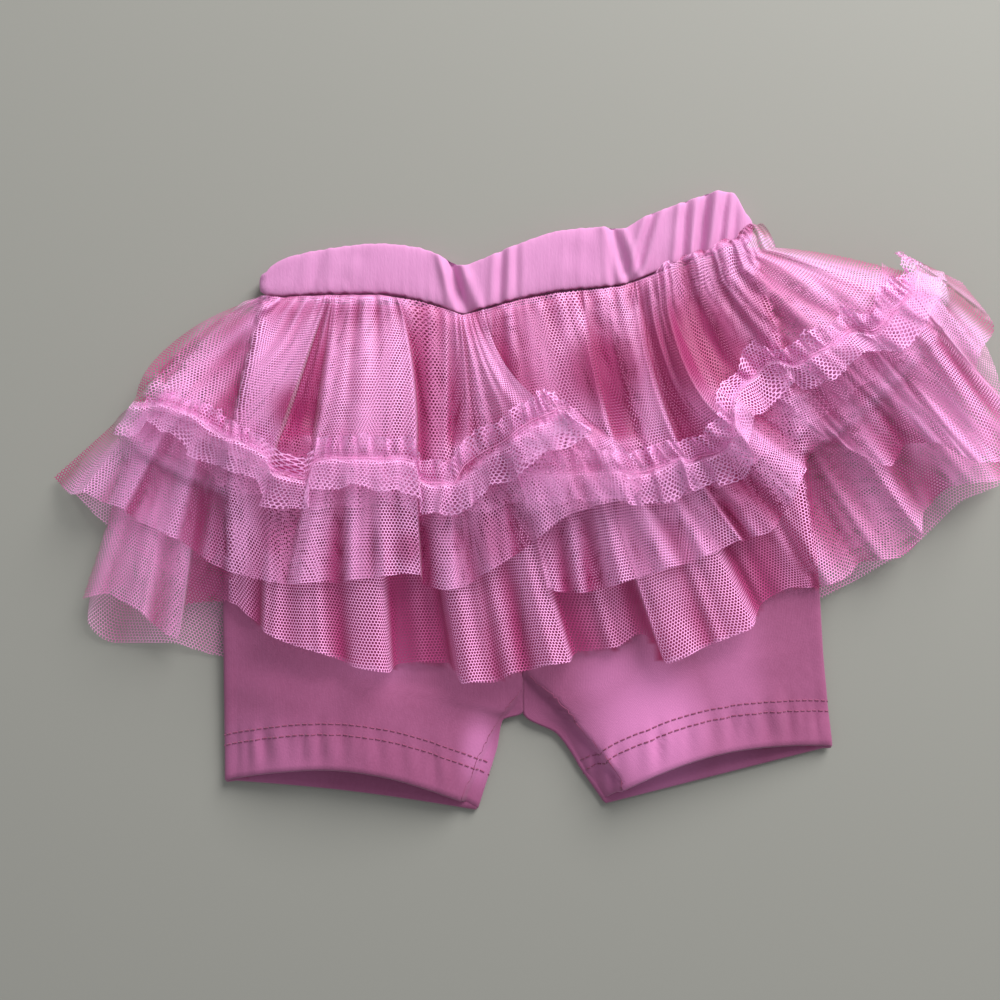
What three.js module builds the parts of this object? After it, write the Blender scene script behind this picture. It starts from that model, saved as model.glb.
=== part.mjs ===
// Baby's tutu shorts laid flat on their back: jersey shorts, an elastic waistband in its casing, and a
// tulle skirt of two layers all round, each layer an upper tier with a gathered ruffle sewn to it.
// Millimetres, X to the right, Y towards the waist, Z up from the floor that the shorts lie on.
import * as THREE from 'three';

// Driving sizes
const JERSEY_WALL = 1.2;
const HEM_WALL = 1.8;
const TULLE_WALL = 1;
const BAND_WALL = 3.2;
const BAND_FOLD = 1.76;
const SEAM_GAP = 0.3;
const WAIST_GAP = 1.1;
const LAYER_GAP = 0.3;
// How much higher the outer layer and its ruffle stand over the shorts than the under layer does
const OUTER_RISE = 3;
const RUFFLE_RISE = 1.5;
// Share of the lifts in the tables that the folds keep as they settle
const LOFT = 0.8;
const HEADING = 9;
const TAIL = 13;
// How far the ruffles' raw headings stand up, by turns, as they frill out
const HEADING_FRILLS = [0.8, 2.4];
// How fast a leg's mouth opens from its edges to its middle: lower is faster
const GAPE_POWER = 0.7;
// The tables give the layout as it is seen from this height, read at floor level. Cloth that stands
// higher lies nearer to the middle, by its height over the eye's.
const EYE_HEIGHT = 430;
// Height field that the layers are laid on: its cell and how far it reaches from the middle
const CELL = 1.5;
const FIELD_X = 240;
const FIELD_Y = 160;

const JERSEY = { color: 0xd873b4, roughness: 0.9, metalness: 0 };
const BAND = { color: 0xf094d4, roughness: 0.85, metalness: 0 };
const TULLE = { color: 0xe08abc, roughness: 0.7, metalness: 0 };

// Waistband: where it lies, a row for each bend
// x, top y, bottom y, rise of the front over the back
const bandRows = [
  [-107, 87, 81, 0],
  [-98.5, 94.5, 80.5, 0.4],
  [-80, 99, 81.5, 0.8],
  [-60, 101, 81.5, 1.2],
  [-44, 99.5, 79, 1],
  [-34, 95.5, 76, 0.6],
  [-27, 92.5, 73.5, 0],
  [-19, 95, 75.5, 0.8],
  [-4, 101, 79.5, 1.6],
  [12, 106, 82.5, 1.8],
  [28, 107.5, 84, 1],
  [36, 107, 85, 0.2],
  [45, 111.5, 88, 1.2],
  [60, 117, 94, 1.8],
  [67, 119.5, 96, 0.6],
  [74, 121.5, 98, 1.6],
  [80, 121, 100, 0.8],
  [85, 113, 100.5, 0.2],
];

// Legs of the shorts, a row for each level from the waist down to the hem
// side x, side y, inner x, inner y front, inner y back, bow of the front edge, bow of the back, gape, wall
const [SIDE_X, SIDE_Y, INNER_X, FRONT_Y, BACK_Y] = [0, 1, 2, 3, 4];
const [FRONT_BOW, BACK_BOW, GAPE, WALL] = [5, 6, 7, 8];
const leftLegRows = [
  [-106.5, 79, -8, 76.5, 76.5, 0, 0, 0, JERSEY_WALL],
  [-109, 66, -8.5, 62, 60, 0, 0, 0.5, JERSEY_WALL],
  [-112.5, 48, -7.5, 44, 40, 0, 0, 1.5, JERSEY_WALL],
  [-117, 18, -6, 12, 6, 0, 0, 2, JERSEY_WALL],
  [-120, -16, -4, -24, -32, 0, 0, 2, JERSEY_WALL],
  [-121, -42, -3, -52, -62, 1, 0, 2.5, JERSEY_WALL],
  [-121, -62, -3, -84.5, -84.5, 3, 0, 4, JERSEY_WALL],
  [-121, -76, -11.2, -88, -88, 5, 0, 6, JERSEY_WALL],
  [-121, -90, -13.5, -99, -99, 7, 0.5, 8, JERSEY_WALL],
  [-121, -95, -15, -104, -104, 7.5, 1, 8.5, HEM_WALL],
  [-121, -111, -21, -122.5, -123, 8.5, 1.5, 10, HEM_WALL],
];
const rightLegRows = [
  [87, 99.5, -7.7, 76.5, 76.5, 0, 0, 0, JERSEY_WALL],
  [91, 86, -8.2, 62, 60, 0, 0, 0.5, JERSEY_WALL],
  [96, 68, -7.2, 44, 40, 0, 0, 1.5, JERSEY_WALL],
  [104, 34, -5.7, 12, 6, 0, 0, 2, JERSEY_WALL],
  [110.5, 4, -3.7, -24, -32, 0, 0, 2, JERSEY_WALL],
  [113.5, -26, -2.7, -52, -62, 1, 0, 2.5, JERSEY_WALL],
  [115, -48, -2.7, -84.5, -84.5, 3, 0, 4, JERSEY_WALL],
  [116, -61, 11, -93.5, -93.5, 4, 0, 6, JERSEY_WALL],
  [117.5, -75, 18, -103, -103, 5, 0, 8, JERSEY_WALL],
  [118, -80, 20, -106.5, -106.5, 5, 0, 8.5, HEM_WALL],
  [120, -97.5, 29.5, -119.5, -120.5, 7, 0, 9.5, HEM_WALL],
];

// Upper tiers, a row for each ridge and each valley of the gathers, along the waist from left to right
// waist x, middle x, middle y, seam x, seam y, lift at the middle, lift at the seam
const outerTierLeftRows = [
  [-107, -144, 62, -157.5, 39, 0, 2],
  [-103, -130, 60, -148, 38.5, 4, 6],
  [-96, -116, 56, -136, 35, 9, 12],
  [-89, -104, 53, -122, 27, 12, 12],
  [-81, -92, 52, -105, 17.5, 14, 12],
  [-80, -90.5, 49.5, -102.5, 12, 2, 1],
  [-79, -85, 46, -90.5, 9, 1, 1],
  [-78, -82, 46, -86.5, 15, 8, 9],
  [-72, -74, 48, -76, 17, 10, 10],
  [-63, -62, 50, -61, 17, 11, 11],
  [-54, -47.5, 52, -46, 15, 10, 9],
  [-52, -45.5, 50, -44, 9, 3, 4],
  [-40, -39, 51, -39, 7, 5, 5],
  [-34.5, -34, 52, -34.5, 7, 5, 4],
  [-32, -31, 51, -31, 7, 2, 1],
  [-29, -27, 51, -25.5, 10, 6, 6],
  [-26.5, -22, 53, -14, 20, 12, 15],
  [-23, -15, 51, 0, 28, 17, 20],
  [-20.5, -6, 49, 14, 34.5, 18, 20],
  [-18.5, -7, 49.5, 12.5, 35.5, 13, 14],
  [-17, -12.6, 50, -9, 25, 7, 5],
];
const outerTierRightRows = [
  [-14, -14, 51, -5, 12, 1, 1],
  [-8, -6, 53, 4, 11, 1, 2],
  [-4, 1, 54, 12, 10.5, 3, 3],
  [4, 13, 55, 23, 12, 6, 6],
  [12, 18.5, 55, 29, 12, 6, 6],
  [20, 25, 53.5, 35, 12, 8, 7],
  [22, 27, 53, 39, 10.5, 2, 2],
  [28, 34, 54, 46, 11, 2, 2],
  [33, 38.5, 56, 50, 13, 7, 7],
  [41, 47, 54, 60, 17, 9, 9],
  [43, 50, 53, 64, 15, 2, 2],
  [47, 55.5, 52, 73.5, 19, 7, 7],
  [49, 58, 51, 77, 21, 8, 10],
  [51, 63, 50.5, 81, 30.5, 14, 16],
  [53, 67, 55, 80, 39, 8, 8],
  [58, 73, 64, 85, 48, 5, 6],
  [65, 82, 71, 98, 53.5, 8, 8],
  [71, 91, 77, 113, 59, 12, 12],
  [77, 99, 83, 125, 63.5, 16, 18],
  [80, 105, 89.5, 137, 69.5, 16, 18],
  [81.5, 109, 96, 149, 78.5, 12, 14],
  [86, 112, 99.5, 152, 90, 7, 4],
];
const underTierRows = [
  [-107, -141, 59, -155, 35, 0, 0],
  [-98, -122, 54, -138, 30, 3, 3],
  [-88, -104, 51, -120, 21, 4, 4],
  [-80, -90, 48, -102, 12, 2, 2],
  [-72, -76, 46, -82, 10.5, 3, 2],
  [-62, -63, 48, -64, 10.5, 4, 4],
  [-52, -50, 48, -48, 9.5, 2, 2],
  [-40, -38, 46, -36, 7, 2, 2],
  [-28, -25, 48, -22, 9, 4, 4],
  [-16, -10, 50, -6, 9.5, 3, 3],
  [-4, 2, 52, 10, 9.5, 4, 4],
  [8, 15, 53, 26, 10.5, 3, 3],
  [20, 28, 53, 42, 11, 4, 4],
  [32, 42, 53, 57, 13.5, 3, 3],
  [44, 56, 54, 72, 18, 4, 4],
  [56, 68, 60, 86, 28, 4, 5],
  [68, 80, 66, 104, 40, 4, 6],
  [76, 92, 72, 122, 52, 5, 8],
  [81, 100, 78, 136, 62, 6, 8],
  [84, 106, 85, 146, 73, 4, 5],
  [87, 111, 91, 150.5, 84, 0, 0],
];

// Ruffles, a row for each ridge and each valley, along the seam from left to right
// seam x, seam y, hem x, hem y, lift at the seam, lift at the hem
const outerRuffleLeftRows = [
  [-157.5, 39, -190.5, 9, 0, 0],
  [-155, 38, -183, 2, 2, 5],
  [-152, 37, -178.5, 3, 3, 9],
  [-148, 35.5, -171.5, -0.5, 4, 5],
  [-143, 34.5, -163, -3.5, 5, 8],
  [-140.5, 33, -160, -6, 4, 3],
  [-136, 31.5, -152, -10.5, 6, 6],
  [-131, 29.5, -143, -15, 8, 9],
  [-127.5, 28, -138.5, -17, 6, 4],
  [-123, 25, -129, -24.5, 8, 9],
  [-117.5, 22, -120, -28.5, 8, 7],
  [-112, 19, -111, -31, 7, 4],
  [-107, 16, -105, -32.5, 4, 2],
  [-100, 11, -101, -33, 1, 1],
  [-90.5, 9, -98.5, -33.5, 1, 2],
  [-86.5, 15, -95.5, -33.5, 7, 8],
  [-81.5, 16, -87, -33, 8, 10],
  [-76, 17, -77, -33, 8, 6],
  [-71, 17, -71, -32, 9, 11],
  [-65.5, 17, -63, -31, 9, 8],
  [-60, 17, -57.5, -30.5, 9, 11],
  [-53, 16, -50, -29.5, 9, 9],
  [-46.5, 15, -44, -30, 8, 9],
  [-44.5, 9, -42.5, -34, 3, 1],
  [-41, 7.5, -39, -35, 4, 5],
  [-36, 7, -34.5, -36, 4, 7],
  [-33, 6.5, -30.5, -35.5, 3, 5],
  [-31, 5.5, -27, -35, 1, 2],
  [-29.5, 8, -23.5, -33, 5, 3],
  [-26.5, 13.5, -19, -30, 8, 8],
  [-20, 18, -12, -26, 10, 12],
  [-12, 23, -4, -21, 12, 10],
  [-4, 29, 6, -13, 14, 14],
  [4, 33, 16, -6, 15, 12],
  [9, 35, 28, -2, 16, 14],
  [13, 37, 41.5, 1.5, 16, 12],
  [19, 36.5, 47, 12.5, 15, 13],
];
const outerRuffleRightRows = [
  [-4, 13, 7, -35, 0, 2],
  [2, 11, 10.5, -36.5, 0, 5],
  [8, 10.5, 14.5, -37, 1, 3],
  [13, 10.5, 21, -37, 4, 6],
  [18.5, 11, 27, -36, 5, 3],
  [24, 12, 36, -33.5, 6, 9],
  [30, 12, 45.5, -30.5, 7, 7],
  [36, 11.5, 55, -27.5, 6, 10],
  [44, 11, 64, -25, 4, 7],
  [50, 13, 70.5, -22.5, 6, 9],
  [55, 15, 77, -19.5, 7, 6],
  [60, 16.5, 84, -16, 8, 8],
  [64, 15, 86.5, -16.5, 2, 1],
  [67.5, 17, 89, -15, 5, 5],
  [70.5, 18, 95, -13.5, 6, 7],
  [73.5, 19, 101, -6.5, 7, 5],
  [77, 21, 103, -3, 9, 8],
  [79, 25, 105.5, 0.5, 13, 12],
  [82, 30, 108, 6.5, 15, 11],
  [82, 35, 110, 14, 12, 6],
  [83, 41, 112.5, 20, 8, 3],
  [86.5, 47, 118, 24, 6, 4],
  [92, 50.5, 125, 22, 7, 8],
  [98.5, 53, 133, 17.5, 8, 6],
  [106.5, 56, 144, 13.5, 10, 9],
  [115, 59.5, 151, 22.5, 12, 8],
  [122, 62.5, 162, 23, 15, 14],
  [128, 65.5, 171, 19, 17, 15],
  [133.5, 68.5, 180, 15, 18, 18],
  [139, 71.5, 188, 15.5, 18, 15],
  [144, 75, 192, 24, 17, 17],
  [149, 78.5, 191, 36, 15, 13],
  [152, 81.5, 185, 44.5, 13, 13],
  [153.5, 85, 178.5, 53, 10, 8],
  [154.5, 88.5, 180.5, 60, 8, 9],
  [154, 92.5, 185.5, 69, 5, 5],
  [151.5, 96.5, 173, 87, 1, 0],
];
const underRuffleRows = [
  [-155, 35, -178.5, -39.5, 0, 2],
  [-150, 33, -170, -37.5, 1, 5],
  [-146, 31.5, -163.5, -40.5, 2, 7],
  [-142, 30, -155.5, -45, 3, 9],
  [-138, 28, -151, -49.5, 3, 5],
  [-132, 25, -141.5, -55.5, 4, 7],
  [-127, 22.5, -137, -41.5, 2, 1],
  [-118, 19, -121, -40.5, 2, 1],
  [-112, 16, -113, -46, 2, 2],
  [-107, 13.5, -108.5, -49.5, 2, 2],
  [-102, 12, -106, -53, 3, 7],
  [-96, 11, -95, -58, 4, 8],
  [-89, 10.5, -83.5, -61.5, 4, 10],
  [-82, 10.5, -76, -64, 4, 7],
  [-75, 10.5, -70, -67, 4, 9],
  [-68, 10.5, -62.5, -68.5, 4, 10],
  [-62.5, 10, -56.5, -69, 4, 8],
  [-59, 9.5, -53, -65.5, 2, 1],
  [-52, 9, -43, -65, 1, 1],
  [-45, 8, -33, -65, 1, 1],
  [-40, 7.5, -27, -73.5, 3, 7],
  [-35, 7, -22, -73, 4, 9],
  [-30, 7.5, -15, -73, 4, 7],
  [-25, 8.5, -7, -69.5, 4, 9],
  [-19, 9, 0, -68, 4, 7],
  [-13.5, 9, 8, -66, 4, 9],
  [-8, 9.5, 15.5, -65, 3, 7],
  [-3.5, 9.5, 18.5, -61, 2, 1],
  [4, 9.5, 26.5, -60, 1, 1],
  [12, 9.5, 34.5, -59, 1, 1],
  [19, 10, 44, -53.5, 1, 1],
  [25, 10.5, 50, -57, 2, 3],
  [29.5, 10.5, 55, -65.5, 4, 8],
  [35, 11, 63, -62.5, 4, 10],
  [41, 11, 69.5, -59, 4, 8],
  [46.5, 11.5, 76, -56.5, 4, 9],
  [52, 12.5, 82.5, -54, 4, 9],
  [57, 13.5, 89, -51, 3, 8],
  [61.5, 15, 92, -42.5, 2, 1],
  [68, 17, 98.5, -37.5, 1, 1],
  [73, 19, 105.5, -35, 1, 1],
  [78, 22, 114, -35, 2, 2],
  [83, 25.5, 121, -33.5, 3, 6],
  [88, 29, 128, -30, 3, 4],
  [93, 32.5, 132, -25, 3, 2],
  [98.5, 36, 140, -24, 3, 4],
  [104, 40, 148, -23, 4, 3],
  [109, 43.5, 155, -17, 5, 6],
  [114, 47, 157, -13, 6, 9],
  [119, 50.5, 157, -7, 6, 6],
  [124, 53.5, 161.5, -0.5, 6, 4],
  [129, 57, 168, 5, 7, 5],
  [133.5, 60.5, 179, 7, 7, 8],
  [138.5, 65, 189, 8, 7, 8],
  [142.5, 69, 193, 18, 6, 8],
  [146, 73.5, 193, 30, 4, 6],
  [149, 79, 188, 41.5, 2, 4],
  [150.5, 85, 174.5, 55, 0, 0],
];

// Back of the skirt, under the shorts and showing at both sides of them
// waist x, seam x, seam y, hem x, hem y, lift at the hem
const outerBackRows = [
  [-106, -150, 40, -184, 5, 0],
  [-104, -146, 36, -175, -5, 3],
  [-101, -140, 32, -160, -18, 0],
  [-97, -130, 27, -146, -28, 2],
  [-90, -114, 20, -128, -38, 0],
  [-76, -92, 13, -100, -42, 0],
  [-56, -66, 10, -70, -42, 0],
  [-27, -31, 8, -33, -42, 0],
  [-12, -12, 9, -12, -42, 0],
  [10, 15, 11, 20, -42, 0],
  [32, 42, 14, 52, -40, 0],
  [52, 68, 19, 86, -37, 0],
  [68, 92, 28, 116, -28, 0],
  [76, 108, 38, 136, -16, 2],
  [81, 122, 50, 154, -4, 0],
  [84, 134, 62, 170, 8, 3],
  [86.5, 142, 72, 184, 22, 0],
  [88.5, 147, 82, 188, 44, 3],
  [90.5, 148, 90, 180, 68, 0],
];
const underBackRows = [
  [-106, -149, 36, -176, -38, 1],
  [-104, -144, 32, -177, -48, 3],
  [-101, -138, 28, -166, -57, 0],
  [-97, -129, 23, -146, -57, 2],
  [-90, -114, 17, -126, -62, 0],
  [-76, -92, 11, -98, -66, 0],
  [-56, -66, 8, -70, -67, 0],
  [-27, -31, 6, -33, -66, 0],
  [-12, -12, 7, -12, -67, 0],
  [10, 15, 9, 20, -66, 0],
  [32, 42, 12, 52, -63, 0],
  [52, 68, 17, 88, -57, 0],
  [68, 92, 26, 112, -42, 0],
  [76, 108, 36, 134, -30, 1],
  [81, 122, 48, 154, -18, 3],
  [84, 134, 60, 172, -1, 0],
  [86.5, 142, 70, 190, 9, 3],
  [88.5, 146, 79, 191, 32, 0],
  [90.5, 147, 86, 174.5, 54, 1],
];

function mix(from, to, part) {
  return from + (to - from) * part;
}

// Value between a table's rows, read in a column of rising keys.
function read(rows, key, keyColumn, valueColumn) {
  const above = rows.findIndex((row) => row[keyColumn] >= key);
  if (above === 0) return rows[0][valueColumn];
  if (above < 0) return rows[rows.length - 1][valueColumn];
  const [low, high] = [rows[above - 1], rows[above]];
  const part = (key - low[keyColumn]) / (high[keyColumn] - low[keyColumn]);
  return mix(low[valueColumn], high[valueColumn], part);
}

function belowBand(x) {
  return read(bandRows, x, 0, 2) - WAIST_GAP;
}

// Height field of what lies on the floor so far.
class Pile {
  constructor(from) {
    this.columns = Math.ceil(2 * FIELD_X / CELL);
    this.rows = Math.ceil(2 * FIELD_Y / CELL);
    this.cells = from ? from.cells.slice() : new Float32Array(this.columns * this.rows).fill(-LAYER_GAP);
  }

  index(column, row) {
    return row * this.columns + column;
  }

  cellOf(x, y) {
    return [(x + FIELD_X) / CELL, (y + FIELD_Y) / CELL];
  }

  // Calls back with the cells under a grid's quad and next to them, and the height of its faces there.
  eachCell(corners, visit) {
    const span = Math.max(corners[0].distanceTo(corners[3]), corners[1].distanceTo(corners[2]));
    const steps = Math.max(1, Math.ceil(span / CELL));
    for (let u = 0; u <= steps; u += 1) {
      for (let v = 0; v <= steps; v += 1) {
        const point = onFaces(corners, u / steps, v / steps);
        const [column, row] = this.cellOf(point.x, point.y).map(Math.round);
        for (const across of [-1, 0, 1]) {
          for (const along of [-1, 0, 1]) visit(this.index(column + across, row + along), point.z);
        }
      }
    }
  }

  add({ points, walls }) {
    eachQuad(points, (corners, row) => {
      this.eachCell(corners, (cell, z) => {
        this.cells[cell] = Math.max(this.cells[cell], z + walls[row] / 2);
      });
    });
  }

  // How far each point of a grid has to rise for all of its faces to clear the pile.
  shortfall(points, room) {
    const rises = points.map((line) => line.map(() => 0));
    eachQuad(points, (corners, row, column) => {
      let rise = 0;
      this.eachCell(corners, (cell, z) => {
        rise = Math.max(rise, this.cells[cell] + room - z);
      });
      for (const [down, right] of [[0, 0], [0, 1], [1, 0], [1, 1]]) {
        rises[row + down][column + right] = Math.max(rises[row + down][column + right], rise);
      }
    });
    return rises;
  }

  at(x, y) {
    const [column, row] = this.cellOf(x, y);
    const [left, low] = [Math.floor(column), Math.floor(row)];
    const level = (line) => {
      const here = this.cells[this.index(left, line)];
      return mix(here, this.cells[this.index(left + 1, line)], column - left);
    };
    return mix(level(low), level(low + 1), row - low);
  }
}

function eachQuad(points, visit) {
  for (let row = 0; row + 1 < points.length; row += 1) {
    for (let column = 0; column + 1 < points[row].length; column += 1) {
      const corners = [
        points[row][column], points[row][column + 1],
        points[row + 1][column], points[row + 1][column + 1],
      ];
      visit(corners, row, column);
    }
  }
}

// Point of a quad's two faces, which meet on the diagonal from its first corner to its last.
function onFaces([first, right, down, last], u, v) {
  if (u <= v) {
    return first.clone().addScaledVector(right.clone().sub(first), v)
      .addScaledVector(last.clone().sub(right), u);
  }
  return first.clone().addScaledVector(down.clone().sub(first), u)
    .addScaledVector(last.clone().sub(down), v);
}

// Raises the points between higher ones, so that a sheet bridges the pile's small dips.
function eased(rises) {
  const at = (row, column) => rises[row]?.[column] ?? 0;
  return rises.map((line, row) => line.map((rise, column) => {
    const along = (at(row - 1, column) + at(row + 1, column)) / 2;
    const across = (at(row, column - 1) + at(row, column + 1)) / 2;
    return Math.max(rise, along, across);
  }));
}

// Lays a sheet on the pile. A point's z comes in as its lift over the layers under this one.
function lay(lines, walls, base, pile) {
  let points = lines.map((line) => line.map((point) => point.clone()));
  for (let round = 0; round < 2; round += 1) {
    points = points.map((line, row) => line.map((point, column) => {
      const seen = lines[row][column];
      const drawnIn = 1 - point.z / EYE_HEIGHT;
      const placed = new THREE.Vector3(seen.x * drawnIn, seen.y * drawnIn, 0);
      return placed.setZ(base.at(placed.x, placed.y) + seen.z + LAYER_GAP + walls[row] / 2);
    }));
    const rises = eased(pile.shortfall(points, LAYER_GAP + walls[0] / 2));
    points.forEach((line, row) => line.forEach((point, column) => {
      point.z += rises[row][column];
    }));
  }
  return { points, walls };
}

// Point at a part of the curve from the first to the third point that passes the second half way.
function through(first, second, third, part) {
  const pull = second.clone().multiplyScalar(2).sub(first.clone().add(third).multiplyScalar(0.5));
  const rest = 1 - part;
  return first.clone().multiplyScalar(rest * rest)
    .add(pull.multiplyScalar(2 * part * rest))
    .add(third.clone().multiplyScalar(part * part));
}

// Places of the points down a sheet, in parts of its way from the waist or seam
const TIER_PARTS = [0, 0.05, 0.14, 0.3, 0.52, 0.76, 1];
const RUFFLE_PARTS = [0, 0.18, 0.4, 0.7, 1];
const BACK_PARTS = [0, 0.33, 0.67, 1];

function tierLines(rows, rise) {
  return rows.map(([waistX, middleX, middleY, seamX, seamY, middleLift, seamLift]) => {
    const waist = new THREE.Vector3(waistX, belowBand(waistX), 0);
    const middle = new THREE.Vector3(middleX, middleY, middleLift * LOFT + rise);
    const seam = new THREE.Vector3(seamX, seamY, seamLift * LOFT + rise);
    const line = TIER_PARTS.map((part) => through(waist, middle, seam, part));
    const down = seam.clone().sub(middle).setZ(0).normalize();
    line.push(seam.clone().addScaledVector(down, TAIL / 2), seam.clone().addScaledVector(down, TAIL));
    return line;
  });
}

function ruffleLines(rows, rise) {
  return rows.map(([seamX, seamY, hemX, hemY, seamLift, hemLift], index) => {
    const seam = new THREE.Vector3(seamX, seamY, seamLift * LOFT + rise);
    const hem = new THREE.Vector3(hemX, hemY, hemLift * LOFT + rise / 2);
    const up = seam.clone().sub(hem).setZ(0).normalize();
    const frill = HEADING_FRILLS[index % 2];
    const top = seam.clone().addScaledVector(up, HEADING).setZ(seam.z + frill);
    const neck = seam.clone().addScaledVector(up, HEADING / 2).setZ(seam.z + frill / 3);
    const fall = RUFFLE_PARTS.map((part) => seam.clone().lerp(hem, part));
    return [top, neck, ...fall];
  });
}

function backTierLines(rows) {
  return rows.map(([waistX, seamX, seamY]) => {
    const waist = new THREE.Vector3(waistX, belowBand(waistX), 0);
    const seam = new THREE.Vector3(seamX, seamY, 0);
    const down = seam.clone().sub(waist).setZ(0).normalize();
    const line = BACK_PARTS.map((part) => waist.clone().lerp(seam, part));
    line.push(seam.clone().addScaledVector(down, TAIL));
    return line;
  });
}

function backRuffleLines(rows) {
  return rows.map(([, seamX, seamY, hemX, hemY, hemLift]) => {
    const seam = new THREE.Vector3(seamX, seamY, 0);
    const hem = new THREE.Vector3(hemX, hemY, hemLift);
    const up = seam.clone().sub(hem).setZ(0).normalize();
    const fall = BACK_PARTS.map((part) => seam.clone().lerp(hem, part));
    return [seam.clone().addScaledVector(up, HEADING), ...fall];
  });
}

// Leg cut in one piece, folded at the side: its front lies on its back, with seams at the inner edge.
const LEG_PARTS = [0.004, 0.06, 0.14, 0.26, 0.4, 0.54, 0.68, 0.8, 0.9, 0.965];
const FOLD_PARTS = [0.25, 0.5, 0.75];

function legLines(rows, yColumn, bowColumn, hasGape) {
  return rows.map((row) => LEG_PARTS.map((part) => {
    const arch = Math.sin(Math.PI * part);
    const x = mix(row[INNER_X], row[SIDE_X], part);
    const y = mix(row[yColumn], row[SIDE_Y], part) + row[bowColumn] * arch;
    const lift = hasGape ? row[GAPE] * arch ** GAPE_POWER : 0;
    return new THREE.Vector3(x, Math.min(y, belowBand(x)), lift);
  }));
}

function layLeg(rows) {
  const walls = rows.map((row) => row[WALL]);
  const back = lay(legLines(rows, BACK_Y, BACK_BOW, false), walls, pile, pile);
  const onBack = new Pile(pile);
  onBack.add(back);
  const front = lay(legLines(rows, FRONT_Y, FRONT_BOW, true), walls, onBack, onBack);
  const points = rows.map(([sideX, sideY], index) => {
    const [upper, lower] = [front.points[index].at(-1), back.points[index].at(-1)];
    const middle = upper.clone().lerp(lower, 0.5);
    const out = new THREE.Vector3(sideX, sideY, middle.z).sub(middle);
    const fold = FOLD_PARTS.map((part) => {
      const turn = Math.PI * part;
      const level = upper.clone().lerp(lower, (1 - Math.cos(turn)) / 2);
      return level.addScaledVector(out, Math.sin(turn));
    });
    return [...front.points[index], ...fold, ...back.points[index].reverse()];
  });
  return { points, walls };
}

// Direction of a line of points where it passes the middle one, halving its bend there.
function heading(before, point, after) {
  const arriving = point.clone().sub(before).normalize();
  return after.clone().sub(point).normalize().add(arriving).normalize();
}

// Normal of a sheet at a grid point, from its neighbours along and across.
function normalAt(points, row, column) {
  const point = points[row][column];
  const along = heading(
    points[Math.max(row - 1, 0)][column], point, points[Math.min(row + 1, points.length - 1)][column],
  );
  const line = points[row];
  const across = heading(line[Math.max(column - 1, 0)], point, line[Math.min(column + 1, line.length - 1)]);
  return across.cross(along).normalize();
}

function bufferOf(vertices, faces) {
  const geometry = new THREE.BufferGeometry();
  geometry.setAttribute('position', new THREE.Float32BufferAttribute(vertices, 3));
  geometry.setIndex(faces);
  geometry.computeVertexNormals();
  return geometry;
}

// Closed wall round a sheet of grid points, half of it to each side of them.
function wallOf({ points, walls }) {
  const [rows, columns] = [points.length, points[0].length];
  const vertices = [];
  for (const side of [1, -1]) {
    for (let row = 0; row < rows; row += 1) {
      for (let column = 0; column < columns; column += 1) {
        const out = normalAt(points, row, column).multiplyScalar(side * walls[row] / 2);
        vertices.push(...points[row][column].clone().add(out).toArray());
      }
    }
  }
  const top = (row, column) => row * columns + column;
  const under = (row, column) => rows * columns + top(row, column);
  const faces = [];
  const quad = (a, b, c, d) => faces.push(a, b, c, a, c, d);
  for (let row = 0; row + 1 < rows; row += 1) {
    for (let column = 0; column + 1 < columns; column += 1) {
      quad(top(row, column), top(row, column + 1), top(row + 1, column + 1), top(row + 1, column));
      quad(under(row, column), under(row + 1, column), under(row + 1, column + 1), under(row, column + 1));
    }
    const last = columns - 1;
    quad(top(row, 0), top(row + 1, 0), under(row + 1, 0), under(row, 0));
    quad(top(row, last), under(row, last), under(row + 1, last), top(row + 1, last));
  }
  for (let column = 0; column + 1 < columns; column += 1) {
    const last = rows - 1;
    quad(top(0, column), under(0, column), under(0, column + 1), top(0, column + 1));
    quad(top(last, column), top(last, column + 1), under(last, column + 1), under(last, column));
  }
  return bufferOf(vertices, faces);
}

// Section of the casing, in parts of half its wall and half its depth
const BAND_OUTLINE = [
  [0, 1], [0.7, 0.86], [1, 0.4], [1, -0.4], [0.7, -0.86],
  [0, -1], [-0.7, -0.86], [-1, -0.4], [-1, 0.4], [-0.7, 0.86],
];

// Waistband: a casing that runs along the front, folds at the side and comes back underneath.
function waistbandRing() {
  const half = BAND_WALL / 2;
  const [backZ, frontZ] = [half, BAND_WALL + SEAM_GAP + half];
  const stations = [];
  for (const [x, top, bottom, rise] of bandRows) stations.push([x, top, bottom, frontZ + rise, 0]);
  const addFold = (row, side) => {
    for (const part of FOLD_PARTS) {
      const turn = Math.PI * (side > 0 ? part : 1 - part);
      const z = mix(frontZ, backZ, (1 - Math.cos(turn)) / 2);
      const x = row[0] + side * BAND_FOLD * Math.sin(turn);
      stations.push([x, row[1], row[2], z, side * turn]);
    }
  };
  addFold(bandRows[bandRows.length - 1], 1);
  for (const [x, top, bottom] of [...bandRows].reverse()) stations.push([x, top, bottom, backZ, Math.PI]);
  addFold(bandRows[0], -1);
  return ringOf(stations, half);
}

// Closed ring of rounded sections. A station is x, top y, bottom y, z and its turn about the Y axis.
function ringOf(stations, half) {
  const vertices = [];
  for (const [x, top, bottom, z, turn] of stations) {
    const [middle, reach] = [(top + bottom) / 2, (top - bottom) / 2];
    for (const [out, along] of BAND_OUTLINE) {
      const away = out * half;
      vertices.push(x + away * Math.sin(turn), middle + along * reach, z + away * Math.cos(turn));
    }
  }
  const faces = [];
  const count = BAND_OUTLINE.length;
  for (let station = 0; station < stations.length; station += 1) {
    const next = (station + 1) % stations.length;
    for (let corner = 0; corner < count; corner += 1) {
      const after = (corner + 1) % count;
      const [a, b] = [station * count + corner, station * count + after];
      const [c, d] = [next * count + after, next * count + corner];
      faces.push(a, b, c, a, c, d);
    }
  }
  return bufferOf(vertices, faces);
}

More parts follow.
